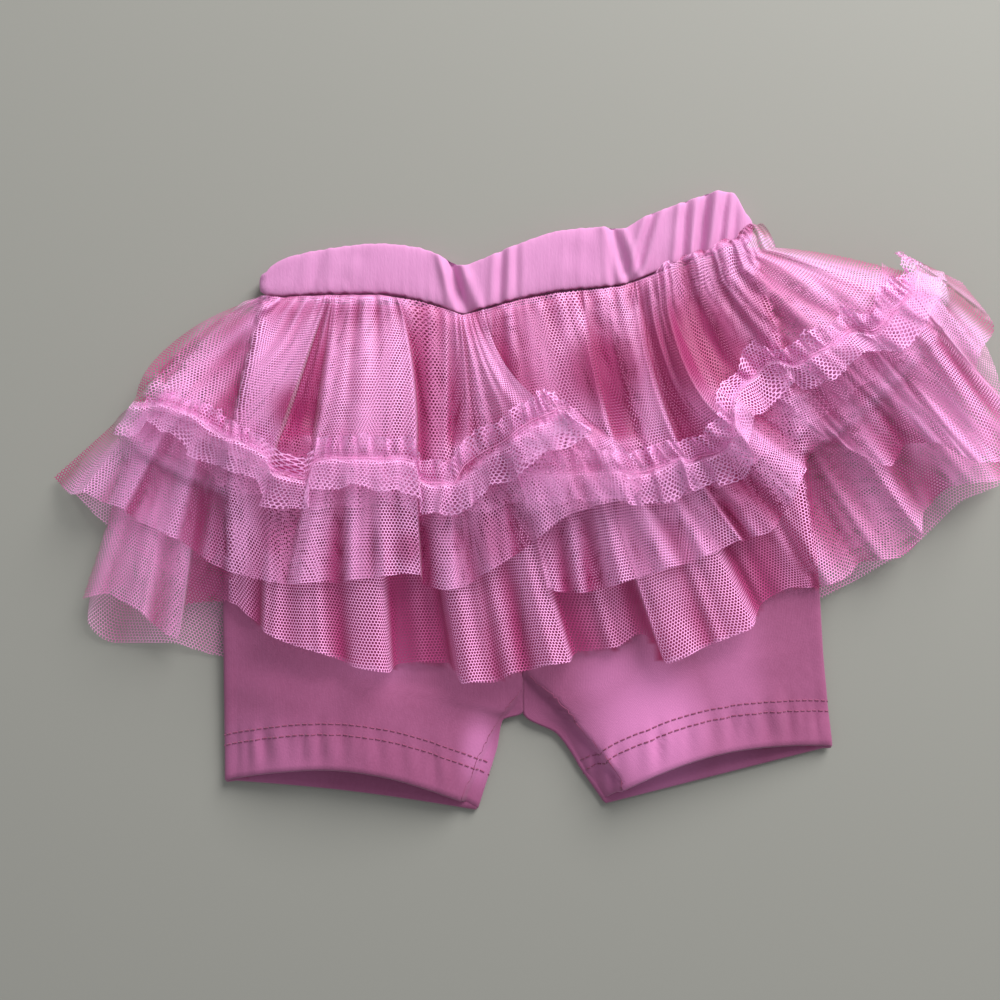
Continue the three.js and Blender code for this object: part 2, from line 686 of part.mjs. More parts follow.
const shorts = new THREE.Group();

function addPiece(name, geometry, look) {
  const piece = new THREE.Mesh(geometry, new THREE.MeshStandardMaterial(look));
  piece.name = name;
  shorts.add(piece);
}

// The layers in the order that they lie, from the floor up
const pile = new Pile();
const floor = new Pile();

function layTulle(lines, base) {
  return lay(lines, lines.map(() => TULLE_WALL), base, pile);
}

function layBack(name, lines) {
  const sheet = layTulle(lines, floor);
  pile.add(sheet);
  addPiece(name, wallOf(sheet), TULLE);
}

layBack('outer_ruffle_back', backRuffleLines(outerBackRows));
layBack('outer_tier_back', backTierLines(outerBackRows));
layBack('under_ruffle_back', backRuffleLines(underBackRows));
layBack('under_tier_back', backTierLines(underBackRows));

const leftLeg = layLeg(leftLegRows);
const rightLeg = layLeg(rightLegRows);
pile.add(leftLeg);
pile.add(rightLeg);
addPiece('leg_left', wallOf(leftLeg), JERSEY);
addPiece('leg_right', wallOf(rightLeg), JERSEY);
addPiece('waistband', waistbandRing(), BAND);

const overShorts = new Pile(pile);
const underTier = layTulle(tierLines(underTierRows, 0), overShorts);
pile.add(underTier);
const underRuffle = layTulle(ruffleLines(underRuffleRows, RUFFLE_RISE), overShorts);
pile.add(underRuffle);
addPiece('under_tier_front', wallOf(underTier), TULLE);
addPiece('under_ruffle_front', wallOf(underRuffle), TULLE);

// The outer layer's left part folds over its right part, so the right part is laid first. The two
// parts of the tier are one sheet, whose own folds are parted by the lifts in its rows.
const tierRight = layTulle(tierLines(outerTierRightRows, OUTER_RISE), overShorts);
const underFlap = new Pile(pile);
pile.add(tierRight);
const ruffleRight = layTulle(ruffleLines(outerRuffleRightRows, OUTER_RISE + RUFFLE_RISE), overShorts);
pile.add(ruffleRight);
underFlap.add(ruffleRight);
const tierLeftLines = tierLines(outerTierLeftRows, OUTER_RISE);
const tierLeft = lay(tierLeftLines, tierLeftLines.map(() => TULLE_WALL), overShorts, underFlap);
const outerTier = {
  points: [...tierLeft.points, ...tierRight.points],
  walls: [...tierLeft.walls, ...tierRight.walls],
};
pile.add(outerTier);
const ruffleLeft = layTulle(ruffleLines(outerRuffleLeftRows, OUTER_RISE + RUFFLE_RISE), overShorts);
addPiece('outer_tier_front', wallOf(outerTier), TULLE);
addPiece('outer_ruffle_front_left', wallOf(ruffleLeft), TULLE);
addPiece('outer_ruffle_front_right', wallOf(ruffleRight), TULLE);

// The frame's origin is at the middle of the underside.
const bounds = new THREE.Box3().setFromObject(shorts);
const centre = bounds.getCenter(new THREE.Vector3());
shorts.position.set(-centre.x, -centre.y, -bounds.min.z);

export default shorts;
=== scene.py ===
"""Baby's tutu shorts laid flat on their back: jersey shorts, a waistband in its casing, and a skirt of
two net layers all round, each layer an upper tier with a gathered ruffle sewn to it.

The tables and the way that the layers are laid repeat the part's source, in millimetres. The pieces are
finer than its solids, with the gathers, hems, stitches and net added, and are in metres in its frame."""
import math
import bpy
import numpy as np
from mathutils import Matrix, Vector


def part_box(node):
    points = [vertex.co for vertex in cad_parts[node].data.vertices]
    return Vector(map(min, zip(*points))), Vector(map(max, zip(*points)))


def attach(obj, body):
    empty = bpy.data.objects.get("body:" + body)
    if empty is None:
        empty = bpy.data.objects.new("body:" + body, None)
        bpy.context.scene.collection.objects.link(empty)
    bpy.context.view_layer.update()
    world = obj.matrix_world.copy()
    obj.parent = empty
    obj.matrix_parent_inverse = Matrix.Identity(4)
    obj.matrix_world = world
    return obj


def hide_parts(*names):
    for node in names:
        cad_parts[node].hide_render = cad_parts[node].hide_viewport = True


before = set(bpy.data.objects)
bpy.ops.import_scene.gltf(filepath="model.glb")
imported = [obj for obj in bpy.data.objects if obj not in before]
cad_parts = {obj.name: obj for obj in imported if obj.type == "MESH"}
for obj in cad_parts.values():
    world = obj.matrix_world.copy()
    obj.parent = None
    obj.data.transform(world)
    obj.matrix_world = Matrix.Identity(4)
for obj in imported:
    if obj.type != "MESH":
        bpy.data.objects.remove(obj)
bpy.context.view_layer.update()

MM = 0.001

# Sizes of the solids, in millimetres, as the part's source has them
JERSEY_WALL = 1.2
TULLE_WALL = 1
BAND_WALL = 3.2
BAND_FOLD = 1.76
SEAM_GAP = 0.3
WAIST_GAP = 1.1
LAYER_GAP = 0.3
OUTER_RISE = 3
RUFFLE_RISE = 1.5
LOFT = 0.8
HEADING = 9
TAIL = 13
GAPE_POWER = 0.7
EYE_HEIGHT = 430
CELL = 1.5
FIELD_X = 240
FIELD_Y = 160

# Waistband: x, top y, bottom y, rise of the front over the back
BAND_ROWS = [
    [-107, 87, 81, 0], [-98.5, 94.5, 80.5, 0.4], [-80, 99, 81.5, 0.8], [-60, 101, 81.5, 1.2], [-44, 99.5, 79, 1],
    [-34, 95.5, 76, 0.6], [-27, 92.5, 73.5, 0], [-19, 95, 75.5, 0.8], [-4, 101, 79.5, 1.6], [12, 106, 82.5, 1.8],
    [28, 107.5, 84, 1], [36, 107, 85, 0.2], [45, 111.5, 88, 1.2], [60, 117, 94, 1.8], [67, 119.5, 96, 0.6],
    [74, 121.5, 98, 1.6], [80, 121, 100, 0.8], [85, 113, 100.5, 0.2],
]
# Legs: side x, side y, inner x, inner y front, inner y back, bow of the front edge, bow of the back, gape
LEFT_LEG_ROWS = [
    [-106.5, 79, -8, 76.5, 76.5, 0, 0, 0], [-109, 66, -8.5, 62, 60, 0, 0, 0.5], [-112.5, 48, -7.5, 44, 40, 0, 0, 1.5],
    [-117, 18, -6, 12, 6, 0, 0, 2], [-120, -16, -4, -24, -32, 0, 0, 2], [-121, -42, -3, -52, -62, 1, 0, 2.5],
    [-121, -62, -3, -84.5, -84.5, 3, 0, 4], [-121, -76, -11.2, -88, -88, 5, 0, 6],
    [-121, -90, -13.5, -99, -99, 7, 0.5, 8], [-121, -95, -15, -104, -104, 7.5, 1, 8.5],
    [-121, -111, -21, -122.5, -123, 8.5, 1.5, 10],
]
RIGHT_LEG_ROWS = [
    [87, 99.5, -7.7, 76.5, 76.5, 0, 0, 0], [91, 86, -8.2, 62, 60, 0, 0, 0.5], [96, 68, -7.2, 44, 40, 0, 0, 1.5],
    [104, 34, -5.7, 12, 6, 0, 0, 2], [110.5, 4, -3.7, -24, -32, 0, 0, 2], [113.5, -26, -2.7, -52, -62, 1, 0, 2.5],
    [115, -48, -2.7, -84.5, -84.5, 3, 0, 4], [116, -61, 11, -93.5, -93.5, 4, 0, 6],
    [117.5, -75, 18, -103, -103, 5, 0, 8], [118, -80, 20, -106.5, -106.5, 5, 0, 8.5],
    [120, -97.5, 29.5, -119.5, -120.5, 7, 0, 9.5],
]
# Upper tiers: waist x, middle x, middle y, seam x, seam y, lift at the middle, lift at the seam
OUTER_TIER_LEFT_ROWS = [
    [-107, -144, 62, -157.5, 39, 0, 2], [-103, -130, 60, -148, 38.5, 4, 6], [-96, -116, 56, -136, 35, 9, 12],
    [-89, -104, 53, -122, 27, 12, 12], [-81, -92, 52, -105, 17.5, 14, 12], [-80, -90.5, 49.5, -102.5, 12, 2, 1],
    [-79, -85, 46, -90.5, 9, 1, 1], [-78, -82, 46, -86.5, 15, 8, 9], [-72, -74, 48, -76, 17, 10, 10],
    [-63, -62, 50, -61, 17, 11, 11], [-54, -47.5, 52, -46, 15, 10, 9], [-52, -45.5, 50, -44, 9, 3, 4],
    [-40, -39, 51, -39, 7, 5, 5], [-34.5, -34, 52, -34.5, 7, 5, 4], [-32, -31, 51, -31, 7, 2, 1],
    [-29, -27, 51, -25.5, 10, 6, 6], [-26.5, -22, 53, -14, 20, 12, 15], [-23, -15, 51, 0, 28, 17, 20],
    [-20.5, -6, 49, 14, 34.5, 18, 20], [-18.5, -7, 49.5, 12.5, 35.5, 13, 14], [-17, -12.6, 50, -9, 25, 7, 5],
]
OUTER_TIER_RIGHT_ROWS = [
    [-14, -14, 51, -5, 12, 1, 1], [-8, -6, 53, 4, 11, 1, 2], [-4, 1, 54, 12, 10.5, 3, 3], [4, 13, 55, 23, 12, 6, 6],
    [12, 18.5, 55, 29, 12, 6, 6], [20, 25, 53.5, 35, 12, 8, 7], [22, 27, 53, 39, 10.5, 2, 2],
    [28, 34, 54, 46, 11, 2, 2], [33, 38.5, 56, 50, 13, 7, 7], [41, 47, 54, 60, 17, 9, 9], [43, 50, 53, 64, 15, 2, 2],
    [47, 55.5, 52, 73.5, 19, 7, 7], [49, 58, 51, 77, 21, 8, 10], [51, 63, 50.5, 81, 30.5, 14, 16],
    [53, 67, 55, 80, 39, 8, 8], [58, 73, 64, 85, 48, 5, 6], [65, 82, 71, 98, 53.5, 8, 8],
    [71, 91, 77, 113, 59, 12, 12], [77, 99, 83, 125, 63.5, 16, 18], [80, 105, 89.5, 137, 69.5, 16, 18],
    [81.5, 109, 96, 149, 78.5, 12, 14], [86, 112, 99.5, 152, 90, 7, 4],
]
UNDER_TIER_ROWS = [
    [-107, -141, 59, -155, 35, 0, 0], [-98, -122, 54, -138, 30, 3, 3], [-88, -104, 51, -120, 21, 4, 4],
    [-80, -90, 48, -102, 12, 2, 2], [-72, -76, 46, -82, 10.5, 3, 2], [-62, -63, 48, -64, 10.5, 4, 4],
    [-52, -50, 48, -48, 9.5, 2, 2], [-40, -38, 46, -36, 7, 2, 2], [-28, -25, 48, -22, 9, 4, 4],
    [-16, -10, 50, -6, 9.5, 3, 3], [-4, 2, 52, 10, 9.5, 4, 4], [8, 15, 53, 26, 10.5, 3, 3],
    [20, 28, 53, 42, 11, 4, 4], [32, 42, 53, 57, 13.5, 3, 3], [44, 56, 54, 72, 18, 4, 4], [56, 68, 60, 86, 28, 4, 5],
    [68, 80, 66, 104, 40, 4, 6], [76, 92, 72, 122, 52, 5, 8], [81, 100, 78, 136, 62, 6, 8],
    [84, 106, 85, 146, 73, 4, 5], [87, 111, 91, 150.5, 84, 0, 0],
]
# Ruffles: seam x, seam y, hem x, hem y, lift at the seam, lift at the hem
OUTER_RUFFLE_LEFT_ROWS = [
    [-157.5, 39, -190.5, 9, 0, 0], [-155, 38, -183, 2, 2, 5], [-152, 37, -178.5, 3, 3, 9],
    [-148, 35.5, -171.5, -0.5, 4, 5], [-143, 34.5, -163, -3.5, 5, 8], [-140.5, 33, -160, -6, 4, 3],
    [-136, 31.5, -152, -10.5, 6, 6], [-131, 29.5, -143, -15, 8, 9], [-127.5, 28, -138.5, -17, 6, 4],
    [-123, 25, -129, -24.5, 8, 9], [-117.5, 22, -120, -28.5, 8, 7], [-112, 19, -111, -31, 7, 4],
    [-107, 16, -105, -32.5, 4, 2], [-100, 11, -101, -33, 1, 1], [-90.5, 9, -98.5, -33.5, 1, 2],
    [-86.5, 15, -95.5, -33.5, 7, 8], [-81.5, 16, -87, -33, 8, 10], [-76, 17, -77, -33, 8, 6],
    [-71, 17, -71, -32, 9, 11], [-65.5, 17, -63, -31, 9, 8], [-60, 17, -57.5, -30.5, 9, 11],
    [-53, 16, -50, -29.5, 9, 9], [-46.5, 15, -44, -30, 8, 9], [-44.5, 9, -42.5, -34, 3, 1],
    [-41, 7.5, -39, -35, 4, 5], [-36, 7, -34.5, -36, 4, 7], [-33, 6.5, -30.5, -35.5, 3, 5],
    [-31, 5.5, -27, -35, 1, 2], [-29.5, 8, -23.5, -33, 5, 3], [-26.5, 13.5, -19, -30, 8, 8],
    [-20, 18, -12, -26, 10, 12], [-12, 23, -4, -21, 12, 10], [-4, 29, 6, -13, 14, 14], [4, 33, 16, -6, 15, 12],
    [9, 35, 28, -2, 16, 14], [13, 37, 41.5, 1.5, 16, 12], [19, 36.5, 47, 12.5, 15, 13],
]
OUTER_RUFFLE_RIGHT_ROWS = [
    [-4, 13, 7, -35, 0, 2], [2, 11, 10.5, -36.5, 0, 5], [8, 10.5, 14.5, -37, 1, 3], [13, 10.5, 21, -37, 4, 6],
    [18.5, 11, 27, -36, 5, 3], [24, 12, 36, -33.5, 6, 9], [30, 12, 45.5, -30.5, 7, 7], [36, 11.5, 55, -27.5, 6, 10],
    [44, 11, 64, -25, 4, 7], [50, 13, 70.5, -22.5, 6, 9], [55, 15, 77, -19.5, 7, 6], [60, 16.5, 84, -16, 8, 8],
    [64, 15, 86.5, -16.5, 2, 1], [67.5, 17, 89, -15, 5, 5], [70.5, 18, 95, -13.5, 6, 7], [73.5, 19, 101, -6.5, 7, 5],
    [77, 21, 103, -3, 9, 8], [79, 25, 105.5, 0.5, 13, 12], [82, 30, 108, 6.5, 15, 11], [82, 35, 110, 14, 12, 6],
    [83, 41, 112.5, 20, 8, 3], [86.5, 47, 118, 24, 6, 4], [92, 50.5, 125, 22, 7, 8], [98.5, 53, 133, 17.5, 8, 6],
    [106.5, 56, 144, 13.5, 10, 9], [115, 59.5, 151, 22.5, 12, 8], [122, 62.5, 162, 23, 15, 14],
    [128, 65.5, 171, 19, 17, 15], [133.5, 68.5, 180, 15, 18, 18], [139, 71.5, 188, 15.5, 18, 15],
    [144, 75, 192, 24, 17, 17], [149, 78.5, 191, 36, 15, 13], [152, 81.5, 185, 44.5, 13, 13],
    [153.5, 85, 178.5, 53, 10, 8], [154.5, 88.5, 180.5, 60, 8, 9], [154, 92.5, 185.5, 69, 5, 5],
    [151.5, 96.5, 173, 87, 1, 0],
]
UNDER_RUFFLE_ROWS = [
    [-155, 35, -178.5, -39.5, 0, 2], [-150, 33, -170, -37.5, 1, 5], [-146, 31.5, -163.5, -40.5, 2, 7],
    [-142, 30, -155.5, -45, 3, 9], [-138, 28, -151, -49.5, 3, 5], [-132, 25, -141.5, -55.5, 4, 7],
    [-127, 22.5, -137, -41.5, 2, 1], [-118, 19, -121, -40.5, 2, 1], [-112, 16, -113, -46, 2, 2],
    [-107, 13.5, -108.5, -49.5, 2, 2], [-102, 12, -106, -53, 3, 7], [-96, 11, -95, -58, 4, 8],
    [-89, 10.5, -83.5, -61.5, 4, 10], [-82, 10.5, -76, -64, 4, 7], [-75, 10.5, -70, -67, 4, 9],
    [-68, 10.5, -62.5, -68.5, 4, 10], [-62.5, 10, -56.5, -69, 4, 8], [-59, 9.5, -53, -65.5, 2, 1],
    [-52, 9, -43, -65, 1, 1], [-45, 8, -33, -65, 1, 1], [-40, 7.5, -27, -73.5, 3, 7], [-35, 7, -22, -73, 4, 9],
    [-30, 7.5, -15, -73, 4, 7], [-25, 8.5, -7, -69.5, 4, 9], [-19, 9, 0, -68, 4, 7], [-13.5, 9, 8, -66, 4, 9],
    [-8, 9.5, 15.5, -65, 3, 7], [-3.5, 9.5, 18.5, -61, 2, 1], [4, 9.5, 26.5, -60, 1, 1], [12, 9.5, 34.5, -59, 1, 1],
    [19, 10, 44, -53.5, 1, 1], [25, 10.5, 50, -57, 2, 3], [29.5, 10.5, 55, -65.5, 4, 8], [35, 11, 63, -62.5, 4, 10],
    [41, 11, 69.5, -59, 4, 8], [46.5, 11.5, 76, -56.5, 4, 9], [52, 12.5, 82.5, -54, 4, 9], [57, 13.5, 89, -51, 3, 8],
    [61.5, 15, 92, -42.5, 2, 1], [68, 17, 98.5, -37.5, 1, 1], [73, 19, 105.5, -35, 1, 1], [78, 22, 114, -35, 2, 2],
    [83, 25.5, 121, -33.5, 3, 6], [88, 29, 128, -30, 3, 4], [93, 32.5, 132, -25, 3, 2], [98.5, 36, 140, -24, 3, 4],
    [104, 40, 148, -23, 4, 3], [109, 43.5, 155, -17, 5, 6], [114, 47, 157, -13, 6, 9], [119, 50.5, 157, -7, 6, 6],
    [124, 53.5, 161.5, -0.5, 6, 4], [129, 57, 168, 5, 7, 5], [133.5, 60.5, 179, 7, 7, 8], [138.5, 65, 189, 8, 7, 8],
    [142.5, 69, 193, 18, 6, 8], [146, 73.5, 193, 30, 4, 6], [149, 79, 188, 41.5, 2, 4], [150.5, 85, 174.5, 55, 0, 0],
]
# Back of the skirt: waist x, seam x, seam y, hem x, hem y, lift at the hem
OUTER_BACK_ROWS = [
    [-106, -150, 40, -184, 5, 0], [-104, -146, 36, -175, -5, 3], [-101, -140, 32, -160, -18, 0],
    [-97, -130, 27, -146, -28, 2], [-90, -114, 20, -128, -38, 0], [-76, -92, 13, -100, -42, 0],
    [-56, -66, 10, -70, -42, 0], [-27, -31, 8, -33, -42, 0], [-12, -12, 9, -12, -42, 0], [10, 15, 11, 20, -42, 0],
    [32, 42, 14, 52, -40, 0], [52, 68, 19, 86, -37, 0], [68, 92, 28, 116, -28, 0], [76, 108, 38, 136, -16, 2],
    [81, 122, 50, 154, -4, 0], [84, 134, 62, 170, 8, 3], [86.5, 142, 72, 184, 22, 0], [88.5, 147, 82, 188, 44, 3],
    [90.5, 148, 90, 180, 68, 0],
]
UNDER_BACK_ROWS = [
    [-106, -149, 36, -176, -38, 1], [-104, -144, 32, -177, -48, 3], [-101, -138, 28, -166, -57, 0],
    [-97, -129, 23, -146, -57, 2], [-90, -114, 17, -126, -62, 0], [-76, -92, 11, -98, -66, 0],
    [-56, -66, 8, -70, -67, 0], [-27, -31, 6, -33, -66, 0], [-12, -12, 7, -12, -67, 0], [10, 15, 9, 20, -66, 0],
    [32, 42, 12, 52, -63, 0], [52, 68, 17, 88, -57, 0], [68, 92, 26, 112, -42, 0], [76, 108, 36, 134, -30, 1],
    [81, 122, 48, 154, -18, 3], [84, 134, 60, 172, -1, 0], [86.5, 142, 70, 190, 9, 3], [88.5, 146, 79, 191, 32, 0],
    [90.5, 147, 86, 174.5, 54, 1],
]

# Finer than the solids: distances between the cloth's rows and columns
ROW_STEP = 1.3
COLUMN_STEP = 1.6
HEADING_STEP = 1.2
BACK_ROW_STEP = 2.2
BACK_COLUMN_STEP = 2.4
BACK_HEADING_STEP = 1.8
LEG_STEP = 2
BAND_STEP = 0.8
# Rough lengths of the panels, which set how many columns they have
TIER_LENGTH = 75
BACK_TIER_LENGTH = 70
BACK_RUFFLE_LENGTH = 50
# The net at the band's seam: how far it is tucked in, its share of height there, and where that ends
TUCK = 1.7
PINCH = 0.95
PINCH_REACH = 6
# How much deeper the tables' folds are made, and how far the net rucks up over the band and off it
FOLD_BOOST = 0.7
BILLOW = 10.5
BILLOW_RISE = 5
# Changes of the outer layer towards the right: x where each begins, distance to its full amount
RUCKED_SEAM = (66, 30)
RUCKED_OVER_BAND = (42, 12)
RAGGED_EDGE = (70, 30)
SLANTED = (72, 40)
# Ripples: height, or share of what they change, then the lengths of their waves
WAIST_GATHERS = (2.6, 6.1, 9.3, 12.4)
TIER_FOLDS = (1, 11, 17, 26)
SEAM_GATHERS = (0.8, 6.7, 8.9)
TAIL_FLARE = (1, 8.1, 13)
TAIL_WAVES = (0.2, 17, 31, 47)
TAIL_SCALLOPS = (0.02, 3.1, 4.7)
TAIL_SWAY = (2.6, 11.9, 19.3)
BILLOW_WAVES = (0.15, 7.3, 12.1)
SLANTING_FOLDS = (2.4, 17, 27, 41)
HEADING_WAVES = (0.18, 9.1, 17, 37)
HEADING_SCALLOPS = (0.02, 2.6, 3.7)
HEADING_RAGS = (0.35, 21, 34)
HEADING_FRILL = (2.4, 6.1, 9.7)
HEADING_SWAY = (1.6, 6.3, 9.1)
RUFFLE_GATHERS = (1.5, 5.3, 7.1)
RUFFLE_FOLDS = (1.1, 9.1, 14, 23)
BACK_RIPPLES = (0.25, 7.7, 13)
LEG_WAVES = (0.35, 37, 61), (1, 29, 53)
HEM_PUCKERS = (1.2, 7.3, 10.7)
BAND_GATHERS = (1, 3.3, 4.9, 7.1)
BAND_WAVES = (0.3, 13, 19), (1, 17, 29)
# The jersey as drawn, its turned-up hem and its stitches
JERSEY_CLOTH = 0.8
HEM_DEPTH = 18
STITCH_ROWS = (17.6, 13.4)
STITCH_LENGTH = 1.8
STITCH_PITCH = 2.7
STITCH_RADIUS = 0.3
STITCH_LIFT = 0.42
INSEAM_LIFT = 0.15
SEAM_THREAD_RADIUS = 0.14
# The net's weave: distance between holes, and the share of it that thread takes
NET_CELL = 1.3
THREAD_SHARE = 0.26
BACK_THREAD_SHARE = 0.19
# Distance between the jersey's wales
WALE_PITCH = 0.55


def mix(start, end, part):
    return start + (end - start) * part


def clipped(value):
    return np.clip(value, 0, 1)


def smoothstep(value):
    value = clipped(value)
    return value * value * (3 - 2 * value)


def rising(value, start, reach):
    """0 up to start, 1 from reach beyond it, and smooth between."""
    return smoothstep((value - start) / reach)


def unit(vectors):
    return vectors / np.maximum(np.linalg.norm(vectors, axis=-1, keepdims=True), 1e-9)


def flat_unit(vectors):
    return unit(vectors * [1, 1, 0])


def beside(vectors):
    """Flat vectors a quarter turn round."""
    return np.stack([-vectors[..., 1], vectors[..., 0], vectors[..., 2]], axis=-1)


def xyz(x, y, z):
    return np.stack(np.broadcast_arrays(x, y, z), axis=-1).astype(float)


def travelled(points):
    """Distance along lines of points, from 0 at their start."""
    steps = np.linalg.norm(np.diff(points, axis=0), axis=-1)
    return np.concatenate([np.zeros_like(steps[:1]), np.cumsum(steps, axis=0)])


def fallen(lines):
    """Distance down each of a sheet's lines, from 0 at its first point."""
    return travelled(lines.transpose(1, 0, 2)).T


def between(rows, places):
    """A table read at places between its rows, on curves that are level at its peaks and dips."""
    step = np.diff(rows, axis=0)
    slope = np.concatenate([step[:1], np.zeros_like(step[1:]), step[-1:]])
    before, after = step[:-1], step[1:]
    rising = before * after > 0
    slope[1:-1] = np.where(rising, 2 * before * after / np.where(rising, before + after, 1), 0)
    low = np.minimum(places.astype(int), len(rows) - 2)
    t = (places - low)[:, None]
    rest = 1 - t
    start = rows[low] * (1 + 2 * t) * rest**2 + slope[low] * t * rest**2
    return start + rows[low + 1] * t * t * (3 - 2 * t) - slope[low + 1] * t * t * rest


def fine_rows(rows, ends, step=ROW_STEP):
    """A table's rows and as many between them as keep the points named by ends a step apart."""
    rows = np.array(rows, float)
    reach = [np.linalg.norm(np.diff(rows[:, end], axis=0), axis=1) for end in ends]
    counts = np.ceil(np.max(reach, axis=0) / step).astype(int)
    places = [low + np.arange(count) / count for low, count in enumerate(counts)]
    return between(rows, np.concatenate(places + [[len(rows) - 1]]))


def ripple(along, waves, seed):
    """Uneven ripple. waves holds its height either way, then the lengths of its waves."""
    height, *lengths = waves
    draw = np.random.default_rng(seed)
    total = 0
    for length in lengths:
        wander = np.sin(along / (length * draw.uniform(0.4, 0.7)) + draw.uniform(0, 6))
        total = total + np.sin(2 * math.pi * along / length + draw.uniform(0, 6) + wander)
    return height * (total / len(lengths))


BAND = np.array(BAND_ROWS, float)


def below_band(x):
    return np.interp(x, BAND[:, 0], BAND[:, 2]) - WAIST_GAP


class Pile:
    """Height field of what lies on the floor so far."""

    def __init__(self, cells=None):
        columns, rows = math.ceil(2 * FIELD_X / CELL), math.ceil(2 * FIELD_Y / CELL)
        self.cells = np.full((rows, columns), -LAYER_GAP, float) if cells is None else cells.copy()

    def copy(self):
        return Pile(self.cells)

    def near(self, x, y):
        """Rows and columns of the nine cells round each point."""
        column = np.rint((x + FIELD_X) / CELL).astype(int)
        row = np.rint((y + FIELD_Y) / CELL).astype(int)
        return [(row + down, column + right) for down in (-1, 0, 1) for right in (-1, 0, 1)]

    def add(self, points, half):
        for row, column in self.near(points[..., 0], points[..., 1]):
            np.maximum.at(self.cells, (row, column), points[..., 2] + half)

    def top(self, x, y):
        """Highest of the nine cells round each point, for a sheet to clear."""
        return np.max([self.cells[cells] for cells in self.near(x, y)], axis=0)

    def cover(self, x, y):
        """Lowest of the nine cells, so that an edge beside a point isn't cover."""
        return np.min([self.cells[cells] for cells in self.near(x, y)], axis=0)

    def at(self, x, y):
        column, row = (x + FIELD_X) / CELL, (y + FIELD_Y) / CELL
        left, low = column.astype(int), row.astype(int)
        across, up = column - left, row - low
        lower = mix(self.cells[low, left], self.cells[low, left + 1], across)
        upper = mix(self.cells[low + 1, left], self.cells[low + 1, left + 1], across)
        return mix(lower, upper, up)


def eased(rise, rounds=24):
    """Raises the cloth between high places, so that it bridges the dips."""
    for _ in range(rounds):
        edge = np.pad(rise, 1, mode="edge")
        across, along = edge[1:-1, :-2] + edge[1:-1, 2:], edge[:-2, 1:-1] + edge[2:, 1:-1]
        rise = np.maximum(rise, (across + along) / 4)
    return rise


def softened(rise, spread=9, rounds=130):
    """Raises thick cloth over high places with a long soft slope round them."""
    for step in range(spread + rounds):
        edge = np.pad(rise, 1, mode="edge")
        around = [edge[1:-1, :-2], edge[1:-1, 2:], edge[:-2, 1:-1], edge[2:, 1:-1]]
        rise = np.maximum(rise, np.max(around, axis=0)) if step < spread else np.mean(around, axis=0)
    return rise


def relief(height, reach=(20, 4)):
    """How far each point stands above the cloth round it."""
    smooth = height
    for axis, half in enumerate(reach):
        pad = [(half + 1, half) if each == axis else (0, 0) for each in (0, 1)]
        total = np.cumsum(np.pad(smooth, pad, mode="edge"), axis=axis)
        width = 2 * half + 1
        ends = np.arange(height.shape[axis])
        smooth = (np.take(total, ends + width, axis) - np.take(total, ends, axis)) / width
    return height - smooth


def deepen_folds(lines, fall, within):
    """Deepens the tables' folds, in full from this distance down the cloth."""
    lines[..., 2] += FOLD_BOOST * relief(lines[..., 2], (16, 0)) * clipped(fall / within)


def lay(seen, half, base, pile, bridge=eased):
    """Lays a sheet on the pile. seen holds its outline at floor level and its lift over base."""
    height = seen[..., 2]
    for _ in range(2):
        drawn_in = 1 - height / EYE_HEIGHT
        x, y = seen[..., 0] * drawn_in, seen[..., 1] * drawn_in
        height = base.at(x, y) + seen[..., 2] + LAYER_GAP + half
        height = height + bridge(np.maximum(pile.top(x, y) + LAYER_GAP + half - height, 0))
    return xyz(x, y, height)


def through(first, second, third, parts):
    """Points on the curve from first to third that passes second half way."""
    pull = 2 * second - (first + third) / 2
    rest = 1 - parts
    return first * rest**2 + 2 * pull * parts * rest + third * parts**2


def even(length, step=COLUMN_STEP):
    """Shares from 0 to 1 that divide a length into steps."""
    return np.linspace(0, 1, max(2, math.ceil(length / step) + 1))


# Columns at which a tier and its ruffle are sewn together
TIER_SEAM = len(even(TIER_LENGTH)) - 1
RUFFLE_SEAM = len(even(HEADING, HEADING_STEP)) - 1


def rucked(seam):
    """The outer layer's seam, which is rucked up most at the right."""
    x = seam[:, 0]
    amount = mix(0.2, 1, rising(x, *RUCKED_SEAM))
    seam = seam.copy()
    # Waves about 30 and 16 mm long move it up and down the skirt, and one of 37 mm lifts it
    seam[:, 1] += amount * (1.9 * np.sin(x / 4.7) + 1.1 * np.sin(x / 2.6 + 2))
    seam[:, 2] += amount * (2.2 + 2.2 * np.sin(x / 5.9 + 1))
    return seam


def slanting(lines, along, fall, seed):
    """Long folds that cross the skirt's right-hand side at a slant."""
    amount = rising(lines[..., 0], *SLANTED) * clipped(np.abs(fall) / 18)
    return amount * ripple(0.9 * along + 0.3 * fall, SLANTING_FOLDS, seed)


def billowed(lines, fall, seed):
    """The net above the waistband's lower edge: it rucks up over the band at the right."""
    x = lines[:, :1, 0]
    amount = rising(x, *RUCKED_OVER_BAND) * (1 - BILLOW_WAVES[0] + ripple(x, BILLOW_WAVES, seed))
    up = BILLOW * amount * np.sin(math.pi * clipped((fall - 0.8) / 13))
    high = BILLOW_RISE * amount * rising(fall, 0, 2.6) * (1 - rising(fall, 7, 16))
    return np.stack([0 * up, up, high], axis=-1)


